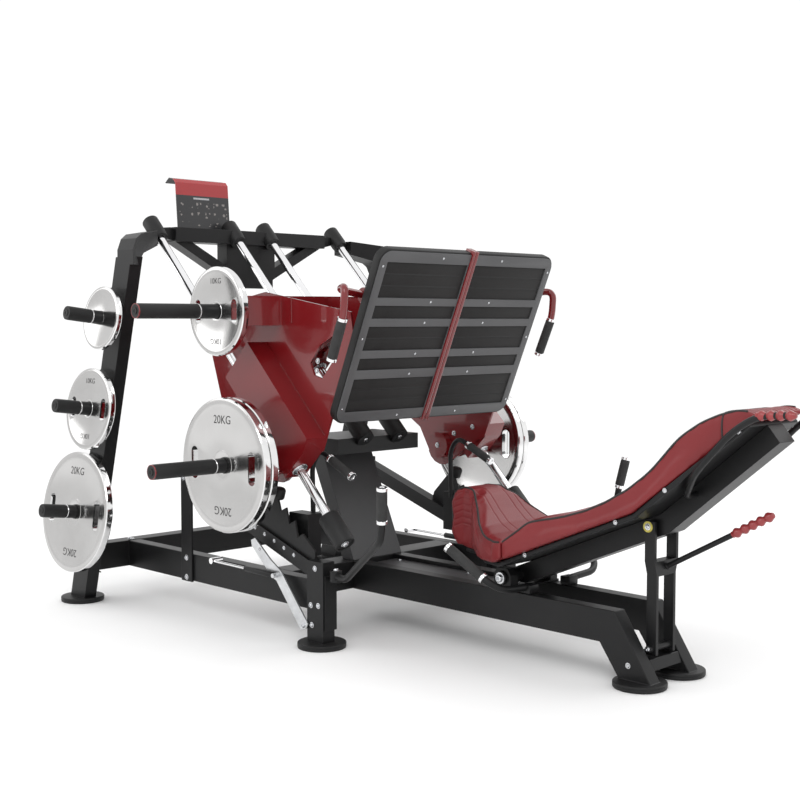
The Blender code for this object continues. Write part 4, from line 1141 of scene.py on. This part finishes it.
# ---------------------------------------------------------------- seat grips, recline link and lever
# Two fixed grips stand out beside the seat. The forked link holds the seat's height; its lever carries a
# longer beaded grip.
for side, tag in SIDES:
    stem = bent_tube([P(0.338, side * 0.092, 0.2335), P(0.340, side * 0.225, 0.242),
                      P(0.315, side * 0.268, 0.266), P(0.180, side * 0.3001, 0.3604)], 0.0115, 0.035)
    place(stem, f"seat_grip_tube_{tag}", powder, "frame", stands_for=(f"seat_grip_{tag}",))
    clamp = bmesh.new()
    bmesh.ops.create_cube(clamp, size=1.0)
    bmesh.ops.transform(clamp,
                        matrix=Matrix.Translation(P(0.338, side * 0.100, 0.2293)) @ Matrix.Diagonal((0.040,
                                                                                                     0.044,
                                                                                                     0.0275,
                                                                                                     1)),
                        verts=clamp.verts)
    place(eased(tidy_mesh(clamp), 0.003), f"seat_grip_clamp_{tag}", powder, "frame")
    hand_grip(P(0.300, side * 0.2715, 0.2765), P(0.172, side * 0.302, 0.366), f"seat_grip_{tag}_hand",
              "frame")
dressed("recline_link", powder, "link", 0.002)
bar = turned([(0.0, 0.0), (0.0, 0.0105), (0.004, 0.0105), (0.006, 0.0081), (0.25, 0.0081), (0.255, 0.0075),
              (0.255, 0.0)], 32)
lever_way = P(1.128, 0, 0.536) - P(0.781, 0, 0.3455)
place(aimed(bar, P(0.7815, 0, 0.3458), lever_way), "recline_lever_bar", powder, "link",
      stands_for=("recline_lever",))
bead_grip(P(1.001, 0, 0.4663), P(1.128, 0, 0.536), 5, "recline_lever_grip", "link", 0.0148)
yellow = Finish("yellow_zinc_washer", "zinc", Metallic=0.8)
tarnish = yellow.noise(200.0, 3.0)
yellow.feed(Base_Color=yellow.shades(tarnish, (0.3, (0.50, 0.42, 0.08)), (0.7, (0.62, 0.55, 0.16))),
            Roughness=0.3 + tarnish * 0.2)
link_screws = []
for side, tag in SIDES:
    disc = turned([(0.0, 0.006), (0.0, 0.0165), (0.0012, 0.0165), (0.0012, 0.006)], 32, False)
    place(aimed(disc, P(0.756, side * 0.0621, 0.468), (0, side, 0)), f"link_washer_{tag}", yellow, "link")
    link_screws.append((P(0.756, side * 0.0633, 0.468), (0, side, 0), 0.9))
    link_screws.append((P(0.763, side * 0.0661, 0.105), (0, side, 0), 0.8))
screws(link_screws, "link_screws", "link")

# ---------------------------------------------------------------- safety handles, stop levers, gas springs
# A swinging handle on each side works the stop: a bright zinc lever with its gas spring, and a release handle
# on the rack's housing.
dull_zinc = Finish("passivated_zinc", "zinc", Metallic=0.85)
bluing = dull_zinc.noise(24.0, 4.0)
dull_zinc.feed(Base_Color=dull_zinc.shades(bluing, (0.3, (0.52, 0.53, 0.54)), (0.7, (0.70, 0.71, 0.72))),
               Roughness=0.26 + bluing * 0.14)
for side, tag in SIDES:
    body = f"safety_handle_body_{tag}"
    arm = bent_tube([P(-0.183, side * 0.452, 0.243), P(-0.11, side * 0.478, 0.243),
                     P(0.168, side * 0.586, 0.415), P(0.1765, side * 0.5885, 0.470),
                     P(0.1932, side * 0.604, 0.568)], 0.0115, 0.035)
    place(arm, f"safety_arm_{tag}", powder, body, stands_for=(f"safety_handle_{tag}",))
    knuckle = turned([(0.0, 0.0), (0.0, 0.0185), (0.0015, 0.020), (0.0365, 0.020), (0.038, 0.0185),
                      (0.038, 0.0)], 40)
    place(aimed(knuckle, P(-0.183, side * 0.452, 0.224), above), f"safety_knuckle_{tag}", powder, body)
    hand_grip(P(0.1765, side * 0.5885, 0.470), P(0.1955, side * 0.606, 0.582), f"safety_grip_{tag}", body)
    screws([(P(-0.183, side * 0.452, 0.2621), above, 1.0)], f"safety_screw_{tag}", body)
    dressed(f"stop_lever_{tag}", dull_zinc, f"stop_lever_body_{tag}", 0.0008)
    screws([(P(-0.305, side * 0.4877, 0.066), (0, side, 0), 0.9),
            (P(-0.535, side * 0.4877, 0.292), (0, side, 0), 0.6)], f"stop_lever_screws_{tag}",
           f"stop_lever_body_{tag}")
    a, b = P(-0.598, side * 0.4990, 0.2185), P(-0.4490, side * 0.4990, 0.2165)
    case = turned([(0.0, 0.0062), (0.0, 0.0098), (0.0012, 0.0105), (0.146, 0.0105), (0.1489, 0.0090),
                   (0.1489, 0.0),], 32, False)
    place(aimed(case, a, b - a), f"gas_case_{tag}", powder, f"gas_cylinder_body_{tag}",
          stands_for=(f"gas_cylinder_{tag}",))
    dressed(f"gas_rod_{tag}", chrome, f"gas_rod_body_{tag}", 0.0008)
    body = f"release_handle_body_{tag}"
    bow = bent_tube([P(-0.42, side * 0.3440, 0.402), P(-0.425, side * 0.3435, 0.58),
                     P(-0.385, side * 0.3435, 0.632), P(-0.230, side * 0.3440, 0.559)], 0.0088, 0.035)
    place(bow, f"release_bow_{tag}", powder, body, stands_for=(f"release_handle_{tag}",))
    hand_grip(P(-0.336, side * 0.3435, 0.609), P(-0.219, side * 0.3440, 0.554), f"release_grip_{tag}", body,
              0.0150)
